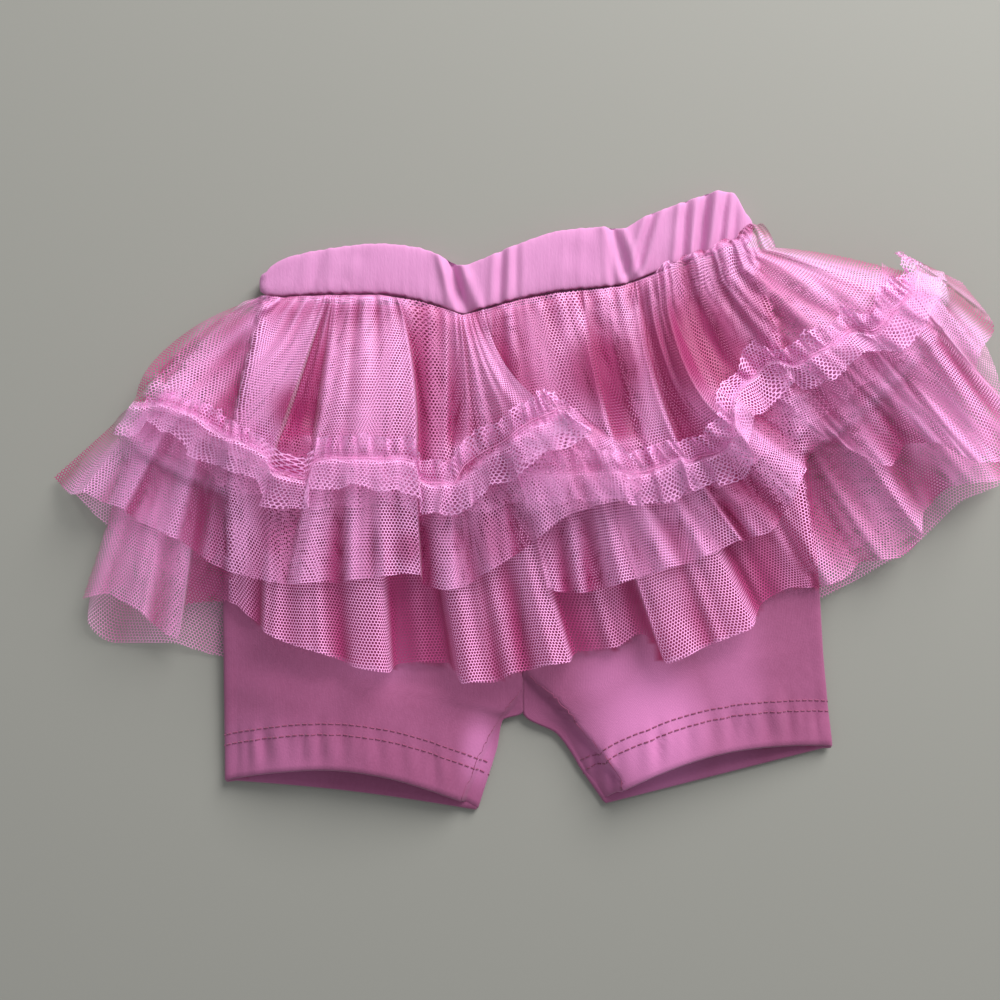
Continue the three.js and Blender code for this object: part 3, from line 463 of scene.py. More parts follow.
def tier_lines(rows, rise, flare, seed):
    """An upper tier, from its waist to the raw edge below its seam."""
    rows = fine_rows(rows, ([3, 4, 6], [1, 2, 5]))
    waist_x, middle_x, middle_y, seam_x, seam_y, middle_lift, seam_lift = rows.T
    waist = xyz(waist_x, below_band(waist_x) + TUCK, 0)
    middle = xyz(middle_x, middle_y, middle_lift * LOFT + rise)
    seam = xyz(seam_x, seam_y, seam_lift * LOFT + rise)
    seam = rucked(seam) if rise else seam
    parts = even(TIER_LENGTH)[None, :, None]
    panel = through(waist[:, None], middle[:, None], seam[:, None], parts)
    down = flat_unit(seam - middle)[:, None]
    along = travelled(seam)[:, None]
    reach = TAIL * (1 + ripple(along, TAIL_WAVES, seed + 7) + ripple(along, TAIL_SCALLOPS, seed + 8))
    edge = down * reach[..., None] + beside(down) * ripple(along, TAIL_SWAY, seed + 9)[..., None]
    tail = seam[:, None] + edge * even(TAIL)[None, 1:, None]
    lines = np.concatenate([panel, tail], axis=1)
    fall = fallen(lines)
    past_seam = fall - fall[:, [TIER_SEAM]]
    below_waist = np.exp(-fall / 10) * (1 - np.exp(-fall / 2))
    fine = below_waist * ripple(along, WAIST_GATHERS, seed)
    fine += (0.7 + 1.3 * np.exp(-fall / 40)) * ripple(along + 0.05 * fall, TIER_FOLDS, seed + 1)
    fine += np.exp(-np.abs(past_seam) / 6) * ripple(along, SEAM_GATHERS, seed + 2)
    deepen_folds(lines, fall, 25)
    if rise:
        fine += slanting(lines, along, fall, seed + 5)
        lines += billowed(lines, fall, seed + 6)
    flared = flare * (1 + ripple(along, TAIL_FLARE, seed + 3))
    lines[..., 2] += fine + 1.2 + clipped(past_seam / TAIL) * flared
    return lines


def ruffle_lines(rows, rise, seed):
    """A ruffle, from the raw edge above its seam to its hem."""
    seam_x, seam_y, hem_x, hem_y, seam_lift, hem_lift = fine_rows(rows, ([2, 3, 5], [0, 1, 4])).T
    seam = xyz(seam_x, seam_y, seam_lift * LOFT + rise)
    hem = xyz(hem_x, hem_y, hem_lift * LOFT + rise / 2)
    seam = rucked(seam) if rise > RUFFLE_RISE else seam
    along = travelled(hem)
    up = flat_unit(seam - hem)
    reach = HEADING * (1 + ripple(along, HEADING_WAVES, seed) + ripple(along, HEADING_SCALLOPS, seed + 7))
    # The heading tapers off at both ends of the seam, and is ragged at the right
    gathered = travelled(seam)
    reach = reach * smoothstep(np.minimum(gathered, gathered[-1] - gathered) / 9)
    reach = reach * (1 + rising(seam[:, 0], *RAGGED_EDGE) * ripple(along, HEADING_RAGS, seed + 8))
    climb = (1 - even(HEADING, HEADING_STEP)[:-1])[None, :, None]
    heading = seam[:, None] + up[:, None] * reach[:, None, None] * climb
    frill = HEADING_FRILL[0] + ripple(along, HEADING_FRILL, seed + 1)
    heading[..., 2] += frill[:, None] * climb[..., 0]
    sway = ripple(along, HEADING_SWAY, seed + 2)
    heading += beside(up)[:, None] * sway[:, None, None] * climb
    parts = even(np.median(np.linalg.norm(hem - seam, axis=1)))[None, :, None]
    skirt = seam[:, None] + (hem - seam)[:, None] * parts
    lines = np.concatenate([heading, skirt], axis=1)
    fall = fallen(lines)
    fall = fall - fall[:, [RUFFLE_SEAM]]
    along = along[:, None]
    deepen_folds(lines, fall, 15)
    fine = np.exp(-np.abs(fall) / 9) * ripple(along, RUFFLE_GATHERS, seed + 3)
    fine += clipped(fall / 40) * ripple(along + 0.04 * fall, RUFFLE_FOLDS, seed + 4)
    fine += slanting(lines, along, fall, seed + 5)
    # Nothing moves the seam itself, where the ruffle is sewn to its tier
    lines[..., 2] += (fine + 1.3) * (1 - np.exp(-((fall / 3) ** 2)))
    return lines


def back_lines(rows, seed):
    """A tier and a ruffle of the skirt's back, which lie flat."""
    rows = fine_rows(rows, ([3, 4, 5], [1, 2]), BACK_ROW_STEP)
    waist_x, seam_x, seam_y, hem_x, hem_y, hem_lift = rows.T
    waist = xyz(waist_x, below_band(waist_x) + TUCK, 0)
    seam = xyz(seam_x, seam_y, 0)
    hem = xyz(hem_x, hem_y, hem_lift)
    along = travelled(hem)[:, None]
    parts = even(BACK_TIER_LENGTH, BACK_COLUMN_STEP)[None, :, None]
    down = flat_unit(seam - waist)[:, None]
    tail = seam[:, None] + down * (even(TAIL, BACK_COLUMN_STEP)[1:] * TAIL)[None, :, None]
    tier = np.concatenate([mix(waist[:, None], seam[:, None], parts), tail], axis=1)
    up = flat_unit(seam - hem)[:, None]
    climb = (1 - even(HEADING, BACK_HEADING_STEP)[:-1])[None, :, None]
    heading = seam[:, None] + up * HEADING * climb
    parts = even(BACK_RUFFLE_LENGTH, BACK_COLUMN_STEP)[None, :, None]
    ruffle = np.concatenate([heading, mix(seam[:, None], hem[:, None], parts)], axis=1)
    for number, lines in enumerate((tier, ruffle)):
        lines[..., 2] += BACK_RIPPLES[0] + ripple(along, BACK_RIPPLES, seed + number)
    return tier, ruffle


def settled(points):
    """The sheets as the waistband's seam pinches them together."""
    below = below_band(points[..., 0]) - points[..., 1]
    points = points.copy()
    points[..., 2] *= mix(PINCH, 1, smoothstep(below / PINCH_REACH))
    return points


# Where the tables' origin lies in the frame: the waistband's solid tells
BAND_LOW, BAND_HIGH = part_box("waistband")
SHIFT = np.array([
    BAND_LOW[0] / MM - (BAND[0, 0] - BAND_FOLD - BAND_WALL / 2),
    BAND_HIGH[1] / MM - BAND[:, 1].max(),
    0,
])


def placed(name, data):
    made = bpy.data.objects.new(name, data)
    bpy.context.scene.collection.objects.link(made)
    return made


def set_values(mesh, name, values):
    mesh.attributes.new(name, "FLOAT", "POINT").data.foreach_set("value", values.astype(np.float32).ravel())


def piece_from(name, points, faces, material, across=None, down=None):
    """A visible piece on the body. across and down are each point's place in the flat cloth."""
    mesh = bpy.data.meshes.new(name)
    mesh.from_pydata(((points.reshape(-1, 3) + SHIFT) * MM).tolist(), [], faces)
    if across is not None:
        layer = mesh.uv_layers.new(name="cloth")
        uvs = np.stack(np.broadcast_arrays(across, down), axis=-1).reshape(-1, 2)
        corners = np.array([vertex for face in faces for vertex in face])
        layer.data.foreach_set("uv", uvs[corners].astype(np.float32).ravel())
    mesh.materials.append(material)
    mesh.shade_smooth()
    mesh.validate()
    piece = placed(name, mesh)
    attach(piece, "root")
    return piece


def grid_faces(rows, columns, wrap=False, close=False):
    """Faces between rows and columns of points. wrap joins the last column to the first, close the last row."""
    index = np.arange(rows * columns).reshape(rows, columns)
    if wrap:
        index = np.concatenate([index, index[:, :1]], axis=1)
    if close:
        index = np.concatenate([index, index[:1]])
    corners = [index[:-1, :-1], index[1:, :-1], index[1:, 1:], index[:-1, 1:]]
    return np.stack([corner.ravel() for corner in corners], axis=1).tolist()


def net_sheet(name, points, level, raw_edge, material, painted_shade=()):
    """A sheet of net. Its weave is laid out in millimetres, straight along the column named by level. Painted
    shade darkens it where it lies low between its folds and at the places given to it, but not at its raw edge."""
    across = travelled(points[:, level])[:, None]
    down = fallen(points)
    down = down - relief(down, (20, 0))
    piece = piece_from(f"{name}_net", settled(points), grid_faces(*points.shape[:2]), material, across, down)
    # Painted shade: the lower a point lies than the net round it, the darker it is coloured, and darker still at the
    # listed places
    depth = smoothstep(0.4 - relief(points[..., 2]) / 5)
    for place_x, place_y, reach, amount in painted_shade:
        away = ((points[..., 0] - place_x) ** 2 + (points[..., 1] - place_y) ** 2) / reach**2
        depth = np.maximum(depth, amount * np.exp(-(away**2)))
    depth[:, raw_edge] = 0
    set_values(piece.data, "depth", depth)
    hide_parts(name)
    return piece


def tube(paths, radius, sides=6):
    """Points and faces of round threads that follow these paths."""
    points, faces = [], []
    turn = (np.arange(sides) * 2 * math.pi / sides)[:, None]
    for path in paths:
        ahead = unit(np.gradient(path, axis=0))
        out = unit(np.cross(ahead, [0.01, 0.02, 1]))
        rise = np.cross(out, ahead)
        ring = path[:, None] + radius * (out[:, None] * np.cos(turn) + rise[:, None] * np.sin(turn))
        start = sum(map(len, points))
        points.append(ring.reshape(-1, 3))
        faces += [[start + corner for corner in face] for face in grid_faces(len(path), sides, True)]
        faces.append([start + corner for corner in range(sides)])
        faces.append([start + (len(path) - 1) * sides + corner for corner in reversed(range(sides))])
    return np.concatenate(points), faces


def thread_piece(name, paths, radius, material):
    piece = piece_from(name, *tube(paths, radius), material)
    return piece


def spots(line, at):
    """Points at these distances along a line."""
    reach = travelled(line)
    return np.stack([np.interp(at, reach, line[:, axis]) for axis in range(3)], axis=-1)


def dashes(line):
    """Stitches along a line: short paths of even length."""
    starts = np.arange(STITCH_PITCH / 2, travelled(line)[-1] - STITCH_LENGTH, STITCH_PITCH)
    return [spots(line, np.linspace(start, start + STITCH_LENGTH, 5)) for start in starts]


# Materials
class Look:
    """A material of one Principled shader, with helpers for the nodes before it."""

    def __init__(self, name, **values):
        self.material = bpy.data.materials.new(name)
        self.material.use_nodes = True
        self.tree = self.material.node_tree
        self.shader = self.tree.nodes["Principled BSDF"]
        for socket, value in values.items():
            self.shader.inputs[socket.replace("_", " ")].default_value = value

    def node(self, kind, *inputs, **settings):
        made = self.tree.nodes.new(kind)
        for name, value in settings.items():
            setattr(made, name, value)
        for place, value in enumerate(inputs):
            if value is None:
                continue
            if isinstance(value, bpy.types.NodeSocket):
                self.tree.links.new(value, made.inputs[place])
            else:
                made.inputs[place].default_value = value
        return made

    def math(self, operation, *inputs):
        return self.node("ShaderNodeMath", *inputs, operation=operation).outputs[0]

    def vector(self, operation, *inputs):
        made = self.node("ShaderNodeVectorMath", *inputs, operation=operation)
        return made.outputs["Value" if operation == "DOT_PRODUCT" else "Vector"]

    def between(self, value, low, high):
        return self.node("ShaderNodeMapRange", value, low, high, interpolation_type="SMOOTHSTEP").outputs[0]

    def noise(self, place, scale, detail=2.0):
        return self.node("ShaderNodeTexNoise", place, None, scale, detail).outputs[0]

    def shades(self, value, dark, light):
        ramp = self.node("ShaderNodeValToRGB", value)
        for stop, colour in zip(ramp.color_ramp.elements, (dark, light)):
            stop.color = (*colour, 1)
        return ramp.outputs[0]

    def turned(self, colour, attribute, other):
        """The colour turning to another one where the mesh's attribute says so."""
        amount = self.node("ShaderNodeAttribute", attribute_name=attribute).outputs["Fac"]
        blend = self.node("ShaderNodeMix", amount, *[None] * 5, colour, (*other, 1), data_type="RGBA")
        return blend.outputs[2]

    def link(self, value, socket):
        self.tree.links.new(value, self.shader.inputs[socket])


def net_look(name, dark, light, painted_shade, thread_share=THREAD_SHARE):
    """Net with hexagonal holes, from the distance to the edges of a hexagonal tiling."""
    look = Look(name, Roughness=0.55, Sheen_Weight=0.3, Sheen_Roughness=0.35)
    place = look.node("ShaderNodeUVMap", uv_map="cloth").outputs[0]
    tile = (1.0, math.sqrt(3), 1.0)
    spot = look.vector("MULTIPLY", place, (1 / NET_CELL, 1 / NET_CELL, 0.0))
    cells = []
    for offset in (0.0, 0.5):
        share = look.vector("ADD", look.vector("DIVIDE", spot, tile), (offset, offset, 0.0))
        share = look.vector("SUBTRACT", look.vector("FRACTION", share), (0.5, 0.5, 0.0))
        cells.append(look.vector("MULTIPLY", share, tile))
    lengths = [look.vector("DOT_PRODUCT", cell, cell) for cell in cells]
    nearer = look.math("LESS_THAN", lengths[0], lengths[1])
    choice = look.node("ShaderNodeMix", nearer, *[None] * 3, *cells[::-1], data_type="VECTOR")
    cell = look.vector("ABSOLUTE", choice.outputs[1])
    slanted = look.vector("DOT_PRODUCT", cell, (0.5, math.sqrt(0.75), 0.0))
    upright = look.vector("DOT_PRODUCT", cell, (1.0, 0.0, 0.0))
    edge = look.math("MAXIMUM", slanted, upright)
    thread = 0.5 - thread_share / 2
    look.link(look.between(edge, thread - 0.015, thread + 0.015), "Alpha")
    colour = look.shades(look.noise(place, 0.35), dark, light)
    # Painted shade: the colour turns to the dark third colour where the depth attribute says so
    look.link(look.turned(colour, "depth", painted_shade), "Base Color")
    return look.material


def jersey_look(name, dark, light, **others):
    """Fine jersey: wales with faint streaks along them. others holds the colours that it turns to."""
    look = Look(name, Roughness=0.85, Sheen_Weight=0.15, Sheen_Roughness=0.5)
    place = look.node("ShaderNodeUVMap", uv_map="cloth").outputs[0]
    streaks = look.noise(look.vector("MULTIPLY", place, (1.0, 0.4, 1.0)), 0.8, 3.0)
    blotches = look.noise(place, 0.05, 2.0)
    tone = look.math("ADD", look.math("MULTIPLY", streaks, 0.45), look.math("MULTIPLY", blotches, 0.55))
    colour = look.shades(look.between(tone, 0.2, 0.8), dark, light)
    for attribute, other in others.items():
        colour = look.turned(colour, attribute, other)
    look.link(colour, "Base Color")
    wales = look.math("SINE", look.vector("DOT_PRODUCT", place, (2 * math.pi / WALE_PITCH, 0.0, 0.0)))
    fibre = look.noise(look.vector("MULTIPLY", place, (1.0, 0.6, 1.0)), 1.7, 2.0)
    bump = look.node("ShaderNodeBump")
    bump.inputs["Strength"].default_value = 0.35
    bump.inputs["Distance"].default_value = 0.3 * MM
    look.tree.links.new(look.math("ADD", look.math("MULTIPLY", wales, 0.1), fibre), bump.inputs["Height"])
    look.link(bump.outputs[0], "Normal")
    return look.material


def thread_look(name, dark, light):
    look = Look(name, Roughness=0.7, Sheen_Weight=0.3)
    place = look.node("ShaderNodeTexCoord").outputs["Object"]
    look.link(look.shades(look.noise(place, 900.0), dark, light), "Base Color")
    return look.material


# The legs' jersey turns paler as painted light, and darker as painted shade under the net, where its mesh's
# attributes say so
JERSEY = jersey_look(
    "jersey", (0.292, 0.065, 0.163), (0.345, 0.086, 0.204),
    paleness=(0.66, 0.21, 0.47), depth=(0.28, 0.018, 0.095),
)
BAND_JERSEY = jersey_look("waistband_jersey", (0.62, 0.243, 0.49), (0.69, 0.288, 0.55))
# Each net's third colour is painted shade. The under net is the outer's net with its colours painted a little darker,
# as shade
OUTER_NET = net_look("outer_tulle", (0.98, 0.37, 0.76), (1.0, 0.48, 0.87), (0.41, 0.022, 0.15))
UNDER_NET = net_look("under_tulle", (0.96, 0.33, 0.70), (1.0, 0.43, 0.80), (0.42, 0.03, 0.165))
BACK_NET = net_look("back_tulle", (0.95, 0.36, 0.70), (1.0, 0.46, 0.80), (0.60, 0.10, 0.32), BACK_THREAD_SHARE)
NET_THREAD = thread_look("net_thread", (0.90, 0.32, 0.66), (0.97, 0.40, 0.74))
# The jersey thread is dark. Along the inseam it also serves as painted shade in the seam's groove
JERSEY_THREAD = thread_look("jersey_thread", (0.22, 0.03, 0.10), (0.30, 0.05, 0.14))

# The back of the skirt, flat under the shorts
TULLE_HALF = TULLE_WALL / 2
floor_pile = Pile()
pile = Pile()
for layer, rows, seed in (("outer", OUTER_BACK_ROWS, 11), ("under", UNDER_BACK_ROWS, 21)):
    tier, ruffle = back_lines(rows, seed)
    for part, lines in (("ruffle", ruffle), ("tier", tier)):
        sheet = lay(lines, TULLE_HALF, floor_pile, pile)
        pile.add(sheet, TULLE_HALF)
        name = f"{layer}_{part}_back"
        net_sheet(name, sheet, -1, [], BACK_NET)

# Legs: each is one tube of jersey, from the waist to a hem turned up inside.
# Inseams as they show on the front, from the crotch down: x, y
LEFT_INSEAM = np.array([[-1.6, -68.8], [-5, -78], [-12, -86.4], [-18.4, -98.4], [-26.8, -118.4]])
RIGHT_INSEAM = np.array([[-1.6, -68.8], [4, -74], [10.4, -79.2], [24, -95.2], [35.2, -108.8]])
CLOTH_HALF = JERSEY_WALL / 2
# Columns across the front or back, points of the bends at the side and the inseam, and the latter's reach
LEG_COLUMNS = 64
SIDE_POINTS = 9
INNER_POINTS = 6
INNER_REACH = 0.5


def leg_grid(rows, parts, y_column, bow_column, gape_skew):
    """The front or back of a leg, with its gape: even at a skew of 1, none at 0."""
    side_x, side_y, inner_x, inner_y, bow = rows[:, [0, 1, 2, y_column, bow_column], None].transpose(1, 0, 2)
    x = mix(inner_x, side_x, parts)
    y = mix(inner_y, side_y, parts) + bow * np.sin(math.pi * parts)
    raised = np.sin(math.pi * parts**gape_skew) ** GAPE_POWER if gape_skew else 0
    gape = rows[:, 7, None] * raised + 0 * x
    return xyz(x, np.minimum(y, below_band(x) + TUCK / 2), gape)


def distance_past(points, line, sign):
    """How far points lie past a line on its inner side, or minus infinity above its start."""
    across = np.interp(-points[..., 1], -line[:, 1], line[:, 0])
    gap = (points[..., 0] - across) * sign
    return np.where(points[..., 1] > line[0, 1], -np.inf, gap)


def bend(start, end, out, count):
    """Columns of points that lead from one edge of the cloth to another round a bend."""
    turns = np.linspace(0, math.pi, count)[1:-1]
    return np.stack([mix(start, end, (1 - math.cos(turn)) / 2) + out * math.sin(turn) for turn in turns], axis=1)


def leg(name, rows, inseam, sign, seed):
    """A leg with its stitches. sign is 1 if its inseam is at its right, and -1 if at its left."""
    rows = fine_rows(rows, ([0, 1], [2, 3]), LEG_STEP)
    # Columns lie closer together towards the inseam and the side
    parts = 0.5 - 0.5 * np.cos(np.linspace(0.06, 0.93 * math.pi, LEG_COLUMNS))
    parts = 0.004 + 0.961 * (parts - parts[0]) / (parts[-1] - parts[0])
    back = lay(leg_grid(rows, parts, 4, 6, 0), CLOTH_HALF, floor_pile, pile, softened)
    on_back = pile.copy()
    on_back.add(back, CLOTH_HALF)
    front = lay(leg_grid(rows, parts, 3, 5, 1 if sign > 0 else 0.6), CLOTH_HALF, on_back, on_back, softened)
    x, y = front[..., 0], front[..., 1]
    front[..., 2] += ripple(x + 0.8 * y, LEG_WAVES[0], seed) * ripple(y - 0.4 * x, LEG_WAVES[1], seed + 1)
    # The hem puckers between and above its rows of stitches
    up = travelled(front[::-1])[::-1]
    pucker = np.exp(-(((up - STITCH_ROWS[1] + 3) / 7) ** 2))
    front[..., 2] += pucker * ripple(x, HEM_PUCKERS, seed + 2)
    # Past the inseam the front sinks, down to just over the back
    past = distance_past(front, inseam, sign)
    low = np.maximum(back[..., 2] + 1.3, front[..., 2] - 3.2)
    front[..., 2] = np.where(past > -2, mix(front[..., 2], low, smoothstep(past / 2.4 + 0.3)), front[..., 2])
    side = (xyz(rows[:, 0], rows[:, 1], 0) - mix(front[:, -1], back[:, -1], 0.5)) * [1, 1, 0]
    fold = bend(front[:, -1], back[:, -1], side, SIDE_POINTS)
    inner = bend(back[:, 0], front[:, 0], np.array([INNER_REACH * sign, 0, 0]), INNER_POINTS)
    outside = np.concatenate([front, fold, back[:, ::-1], inner], axis=1)
    # The hem's edge turns in and runs back up inside the leg
    across = unit(np.roll(outside, -1, axis=1) - np.roll(outside, 1, axis=1))
    down = unit(np.gradient(outside, axis=0))
    inward = unit(np.cross(across, down))
    inward = -inward * np.sign(inward[:, : front.shape[1], 2].mean())
    turned = [outside[-1] + down[-1] * 0.5 + inward[-1] * 0.5]
    turned += [outside[row] + inward[row] for row in reversed(range(len(up))) if up[row].mean() < HEM_DEPTH]
    ring = settled(np.concatenate([outside, np.stack(turned)]))
    faces = grid_faces(*ring.shape[:2], True)
    if sign > 0:
        faces = [face[::-1] for face in faces]
    length = np.median(travelled(ring), axis=1)[:, None]
    piece = piece_from(f"{name}_jersey", ring, faces, JERSEY, travelled(ring[-1]), length)
    thickness = piece.modifiers.new("cloth", "SOLIDIFY")
    thickness.thickness = JERSEY_CLOTH * MM
    thickness.offset = 0
    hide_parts(name)
    # Two rows of stitches round the hem, on the cloth's outside, and the inseam, a dark thread that is partly the
    # seam and partly painted shade in its groove
    outside = ring[: len(outside)]
    paths = []
    for depth in STITCH_ROWS:
        line = np.array([spots(outside[::-1, column], depth) for column in range(ring.shape[1])])
        line -= inward[-1] * STITCH_LIFT
        paths += dashes(np.concatenate([line, line[:1]]))
    sewing = [thread_piece(f"{name}_hem_stitches", paths, STITCH_RADIUS, JERSEY_THREAD)]
    seam = []
    for row in outside[:, : front.shape[1]]:
        gap = distance_past(row, inseam, sign)
        if gap.max() > 0 > gap.min():
            seam.append(row[np.argmax((gap > 0) != (gap[0] > 0))] + [0, 0, INSEAM_LIFT])
    # The inseam's dark thread is partly the seam and partly painted shade in the seam's groove
    sewing.append(thread_piece(f"{name}_inseam", [np.array(seam)], STITCH_RADIUS, JERSEY_THREAD))
    return piece, sewing, front, back


left_leg, left_sewing, left_front, left_back = leg("leg_left", LEFT_LEG_ROWS, LEFT_INSEAM, 1, 31)
right_leg, right_sewing, right_front, right_back = leg("leg_right", RIGHT_LEG_ROWS, RIGHT_INSEAM, -1, 41)
for sheet in (left_front, left_back, right_front, right_back):
    pile.add(sheet, CLOTH_HALF)

# Waistband: a casing of jersey with its elastic, folded at the sides.
# Creases of the front: x at the bottom, lean towards the top, depth, width
BAND_CREASES = (
    (-24.5, -7, 3.0, 2.2), (-28.5, -2, 1.4, 1.8), (-12, 1, 1.6, 1.6), (-5.5, 0, 0.8, 1.4),
    (39, -6, 2.6, 1.7), (40.5, 8, 2.2, 1.6), (34, -3, 1.2, 1.5), (59.5, 2, 2.4, 1.5), (66.5, 3, 2.6, 1.5),
    (74, 3.5, 2.0, 1.5), (79.5, 2, 1.0, 1.3), (-86, 4, 0.7, 2.4),
)
# Points round a section, and the least depth of a section before the band turns at its end
SECTION_POINTS = 36
END_DEPTH = 9


def rounded(value, power):
    """A sine or cosine made squarer, for a section that is flatter than an oval."""
    return np.sign(value) * np.abs(value) ** power


def waistband():
    """The casing, section by section: front, turn at the right, back, turn at the left."""
    half = BAND_WALL / 2
    back_z, front_z = half, BAND_WALL + SEAM_GAP + half
    rows = fine_rows(BAND_ROWS, ([0, 1], [0, 2]), BAND_STEP)
    rows = rows[rows[:, 1] - rows[:, 2] > END_DEPTH]
    stations = [(x, top, bottom, front_z + rise, 0) for x, top, bottom, rise in rows]

    def add_fold(x, top, bottom, side):
        for part in np.linspace(0, 1, 10)[1:-1]:
            turn = math.pi * (part if side > 0 else 1 - part)
            z = mix(front_z, back_z, (1 - math.cos(turn)) / 2)
            shrink = 0.16 * (top - bottom) * math.sin(turn)
            out = side * BAND_FOLD * math.sin(turn)
            stations.append((x + out, top - shrink, bottom + shrink, z, side * turn))

    add_fold(*rows[-1, :3], 1)
    stations.extend((x, top, bottom, back_z, math.pi) for x, top, bottom, _ in rows[::-1])
    add_fold(*rows[0, :3], -1)
    x, top, bottom, z, turn = (column[:, None] for column in np.array(stations).T)
    angle = np.linspace(0, 2 * math.pi, SECTION_POINTS, endpoint=False)[None]
    out, along = rounded(np.sin(angle), 0.45), rounded(np.cos(angle), 0.75)
    middle, reach = (top + bottom) / 2, (top - bottom) / 2
    is_front = np.cos(turn) > 0.5
    y = middle + along * reach
    swell = np.zeros_like(y)
    for crease_x, lean, depth, width in BAND_CREASES:
        offset = (x - crease_x - lean * (along + 1) / 2) / width
        swell -= depth * np.exp(-(np.abs(offset) ** 1.3)) * (1 - 0.45 * np.abs(along))
        swell += 0.45 * depth * np.exp(-((np.abs(offset) - 2.1) ** 2))
    # The elastic's gathers are deepest at the lower seam, and move both edges a little
    gathers = ripple(x, BAND_GATHERS, 51)
    swell += gathers * (0.03 + 0.3 * clipped(-along - 0.35) + 0.12 * clipped(along - 0.5))
    swell += ripple(x + 5 * along, BAND_WAVES[0], 52) * ripple(x - 9 * along, BAND_WAVES[1], 53)
    y = y + np.where(along < -0.8, 0.35, 0.2) * np.abs(along) ** 6 * gathers * is_front
    away = out * half + np.where(is_front & (np.sin(angle) > 0), swell, 0)
    points = xyz(x + away * np.sin(turn), y, z + away * np.cos(turn))
    length, around = travelled(points.mean(axis=1))[:, None], travelled(points[0])
    faces = grid_faces(*points.shape[:2], True, True)
    piece = piece_from("waistband_casing", points, faces, BAND_JERSEY, length, around)
    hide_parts("waistband")
    return piece


casing = waistband()

# The front of the skirt, laid over the shorts in the order of the solids
over_shorts = pile.copy()
# Where painted shade darkens the net, mostly low between its puffs: x, y, reach, amount
PAINTED_SHADE_PARTS = {
    "under_tier_front": ((28, 50, 18, 0.9), (62, 60, 24, 0.9), (-88, 34, 8, 0.9), (-66, 44, 7, 0.8)),
    "outer_tier_front": ((28, 50, 17, 0.95), (62, 60, 24, 1), (-88, 34, 9, 1), (100, 66, 12, 0.5), (90, 74, 14, 0.7)),
    "outer_ruffle_front_left": ((-13, -14, 13, 0.6), (-46, -18, 6, 0.6), (-96, -14, 9, 0.7)),
    "outer_ruffle_front_right": ((10, -6, 8, 0.5), (78, 2, 12, 0.6), (118, 44, 14, 0.6)),
}


def layer_pieces(tier_rows, ruffle_rows, rise, flare, seed):
    """Lays a tier, then its ruffle, and then the tier's raw edge over both."""
    tier = tier_lines(tier_rows, rise, flare, seed)
    ruffle = ruffle_lines(ruffle_rows, rise + RUFFLE_RISE, seed + 10)
    laid = []
    for lines in (tier[:, : TIER_SEAM + 1], ruffle, tier[:, TIER_SEAM + 1 :]):
        laid.append(lay(lines, TULLE_HALF, over_shorts, pile))
        pile.add(laid[-1], TULLE_HALF)
    return np.concatenate([laid[0], laid[2]], axis=1), laid[1]


under_tier, under_ruffle = layer_pieces(UNDER_TIER_ROWS, UNDER_RUFFLE_ROWS, 0, 0.2, 61)
right_tier, right_ruffle = layer_pieces(OUTER_TIER_RIGHT_ROWS, OUTER_RUFFLE_RIGHT_ROWS, OUTER_RISE, 1, 81)
left_tier, left_ruffle = layer_pieces(OUTER_TIER_LEFT_ROWS, OUTER_RUFFLE_LEFT_ROWS, OUTER_RISE, 1, 101)

# The jersey is painted darker, as shade, where other cloth covers it, and painted paler, as painted light, on the
# right leg's front beside its inseam and at the legs' inner corners: x, y, reach across, reach along, amount
PAINTED_LIGHT_PARTS = (
    (47, -90, 24, 26, 1), (34, -72, 15, 14, 0.6), (78, -72, 14, 40, 0.35), (-20, -100, 7, 13, 0.75),
    (-104, -100, 26, 14, 0.25), (-58, -62, 14, 10, 0.3),
)
for leg_piece in (left_leg, right_leg):
    places = np.zeros(3 * len(leg_piece.data.vertices))
    leg_piece.data.vertices.foreach_get("co", places)
    x, y, z = (places.reshape(-1, 3) / MM - SHIFT).T
    # Painted shade: the jersey is coloured darker where other cloth covers it
    set_values(leg_piece.data, "depth", rising(pile.cover(x, y) - z, 2, 4))
    # Painted light: broad paler patches where light falls on the jersey
    paleness = 0 * x
    for place_x, place_y, across, along, amount in PAINTED_LIGHT_PARTS:
        away = ((x - place_x) / across) ** 2 + ((y - place_y) / along) ** 2
        paleness = np.maximum(paleness, amount * np.exp(-(away**1.5)))
    set_values(leg_piece.data, "paleness", paleness)
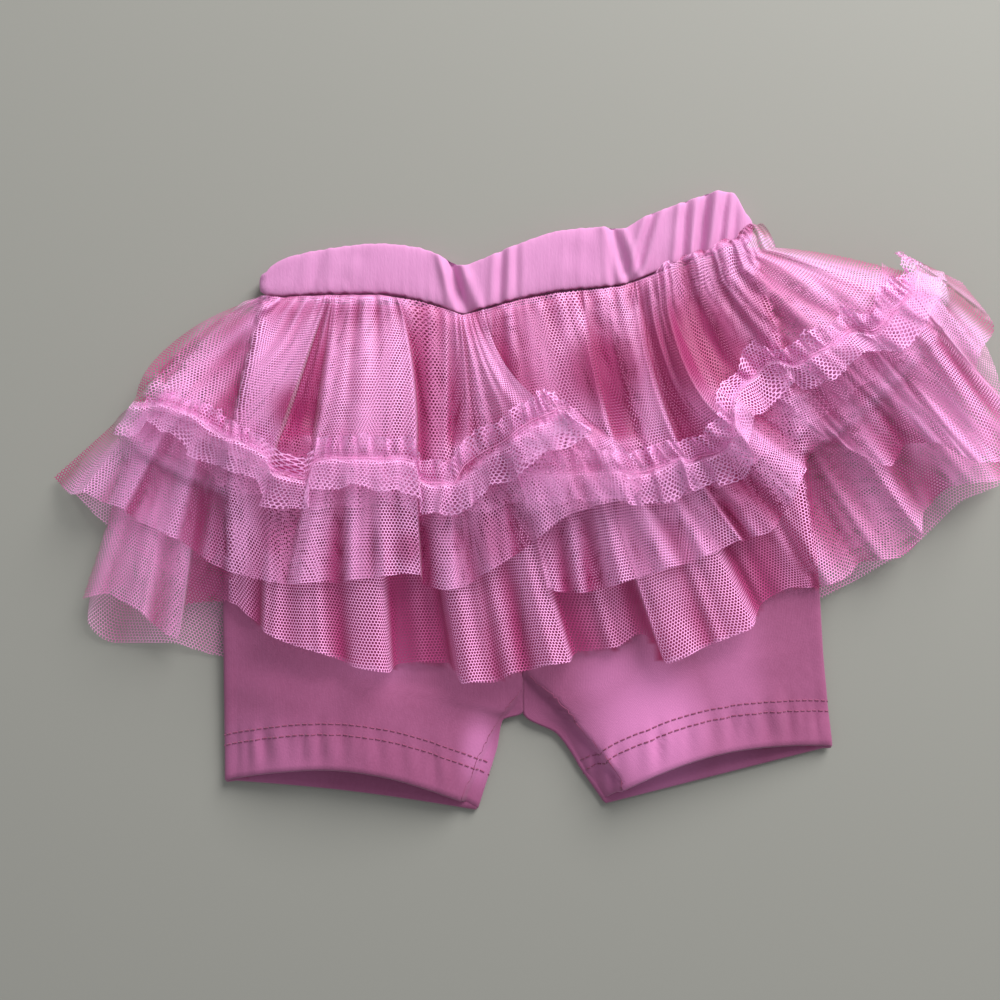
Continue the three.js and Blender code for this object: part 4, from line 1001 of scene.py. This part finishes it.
for name, points, material in (
    ("under_tier_front", under_tier, UNDER_NET),
    ("under_ruffle_front", under_ruffle, UNDER_NET),
    ("outer_tier_front", np.concatenate([left_tier, right_tier]), OUTER_NET),
    ("outer_ruffle_front_right", right_ruffle, OUTER_NET),
    ("outer_ruffle_front_left", left_ruffle, OUTER_NET),
):
    # A ruffle's raw edge is above its seam, a tier's below
    is_ruffle = "ruffle" in name
    level, raw_edge = (-1, slice(0, RUFFLE_SEAM)) if is_ruffle else (TIER_SEAM, slice(TIER_SEAM, None))
    net_sheet(name, points, level, raw_edge, material, PAINTED_SHADE_PARTS.get(name, ()))
    if is_ruffle:
        line = settled(points)[:, RUFFLE_SEAM] + [0, 0, 0.1]
        stitches = thread_piece(f"{name}_stitch_line", [line], SEAM_THREAD_RADIUS, NET_THREAD)

# Floor, light and camera, in metres
FLOOR_REACH = 4
FLOOR_DROP = 0.0004
FLOOR_COLOUR = (0.305, 0.298, 0.268, 1)
SKY_COLOUR = (0.93, 0.97, 1, 1)
SKY_STRENGTH = 0.42
WINDOW_PLACE = (0.72, 1.2, 0.8)
WINDOW_SIZE = 0.9
WINDOW_POWER = 41
# What the picture spans at floor level, and its shift to the left, in millimetres
FRAME_WIDTH = 400
FRAME_SHIFT = 12

mesh = bpy.data.meshes.new("floor")
corners = ((-1, -1), (1, -1), (1, 1), (-1, 1))
mesh.from_pydata([(x * FLOOR_REACH, y * FLOOR_REACH, -FLOOR_DROP) for x, y in corners], [], [(0, 1, 2, 3)])
mesh.materials.append(Look("pale_floor", Roughness=0.75, Base_Color=FLOOR_COLOUR).material)
placed("floor", mesh)

scene = bpy.context.scene
scene.view_settings.view_transform = "Standard"
scene.cycles.transparent_max_bounces = 64
world = bpy.data.worlds.new("world")
world.use_nodes = True
background = world.node_tree.nodes["Background"]
background.inputs["Color"].default_value = SKY_COLOUR
background.inputs["Strength"].default_value = SKY_STRENGTH
scene.world = world

light_data = bpy.data.lights.new("window", "AREA")
light_data.size = WINDOW_SIZE
light_data.energy = WINDOW_POWER
light = placed("window", light_data)
light.location = WINDOW_PLACE
light.rotation_euler = (-light.location.normalized()).to_track_quat("-Z", "Y").to_euler()

camera_data = bpy.data.cameras.new("camera")
camera_data.sensor_fit = "HORIZONTAL"
camera_data.angle = 2 * math.atan(FRAME_WIDTH / 2 / EYE_HEIGHT)
camera_data.shift_x = -FRAME_SHIFT / FRAME_WIDTH
camera_data.clip_start = 0.01
camera = placed("camera", camera_data)
camera.location = (SHIFT[0] * MM, SHIFT[1] * MM, EYE_HEIGHT * MM)
scene.camera = camera
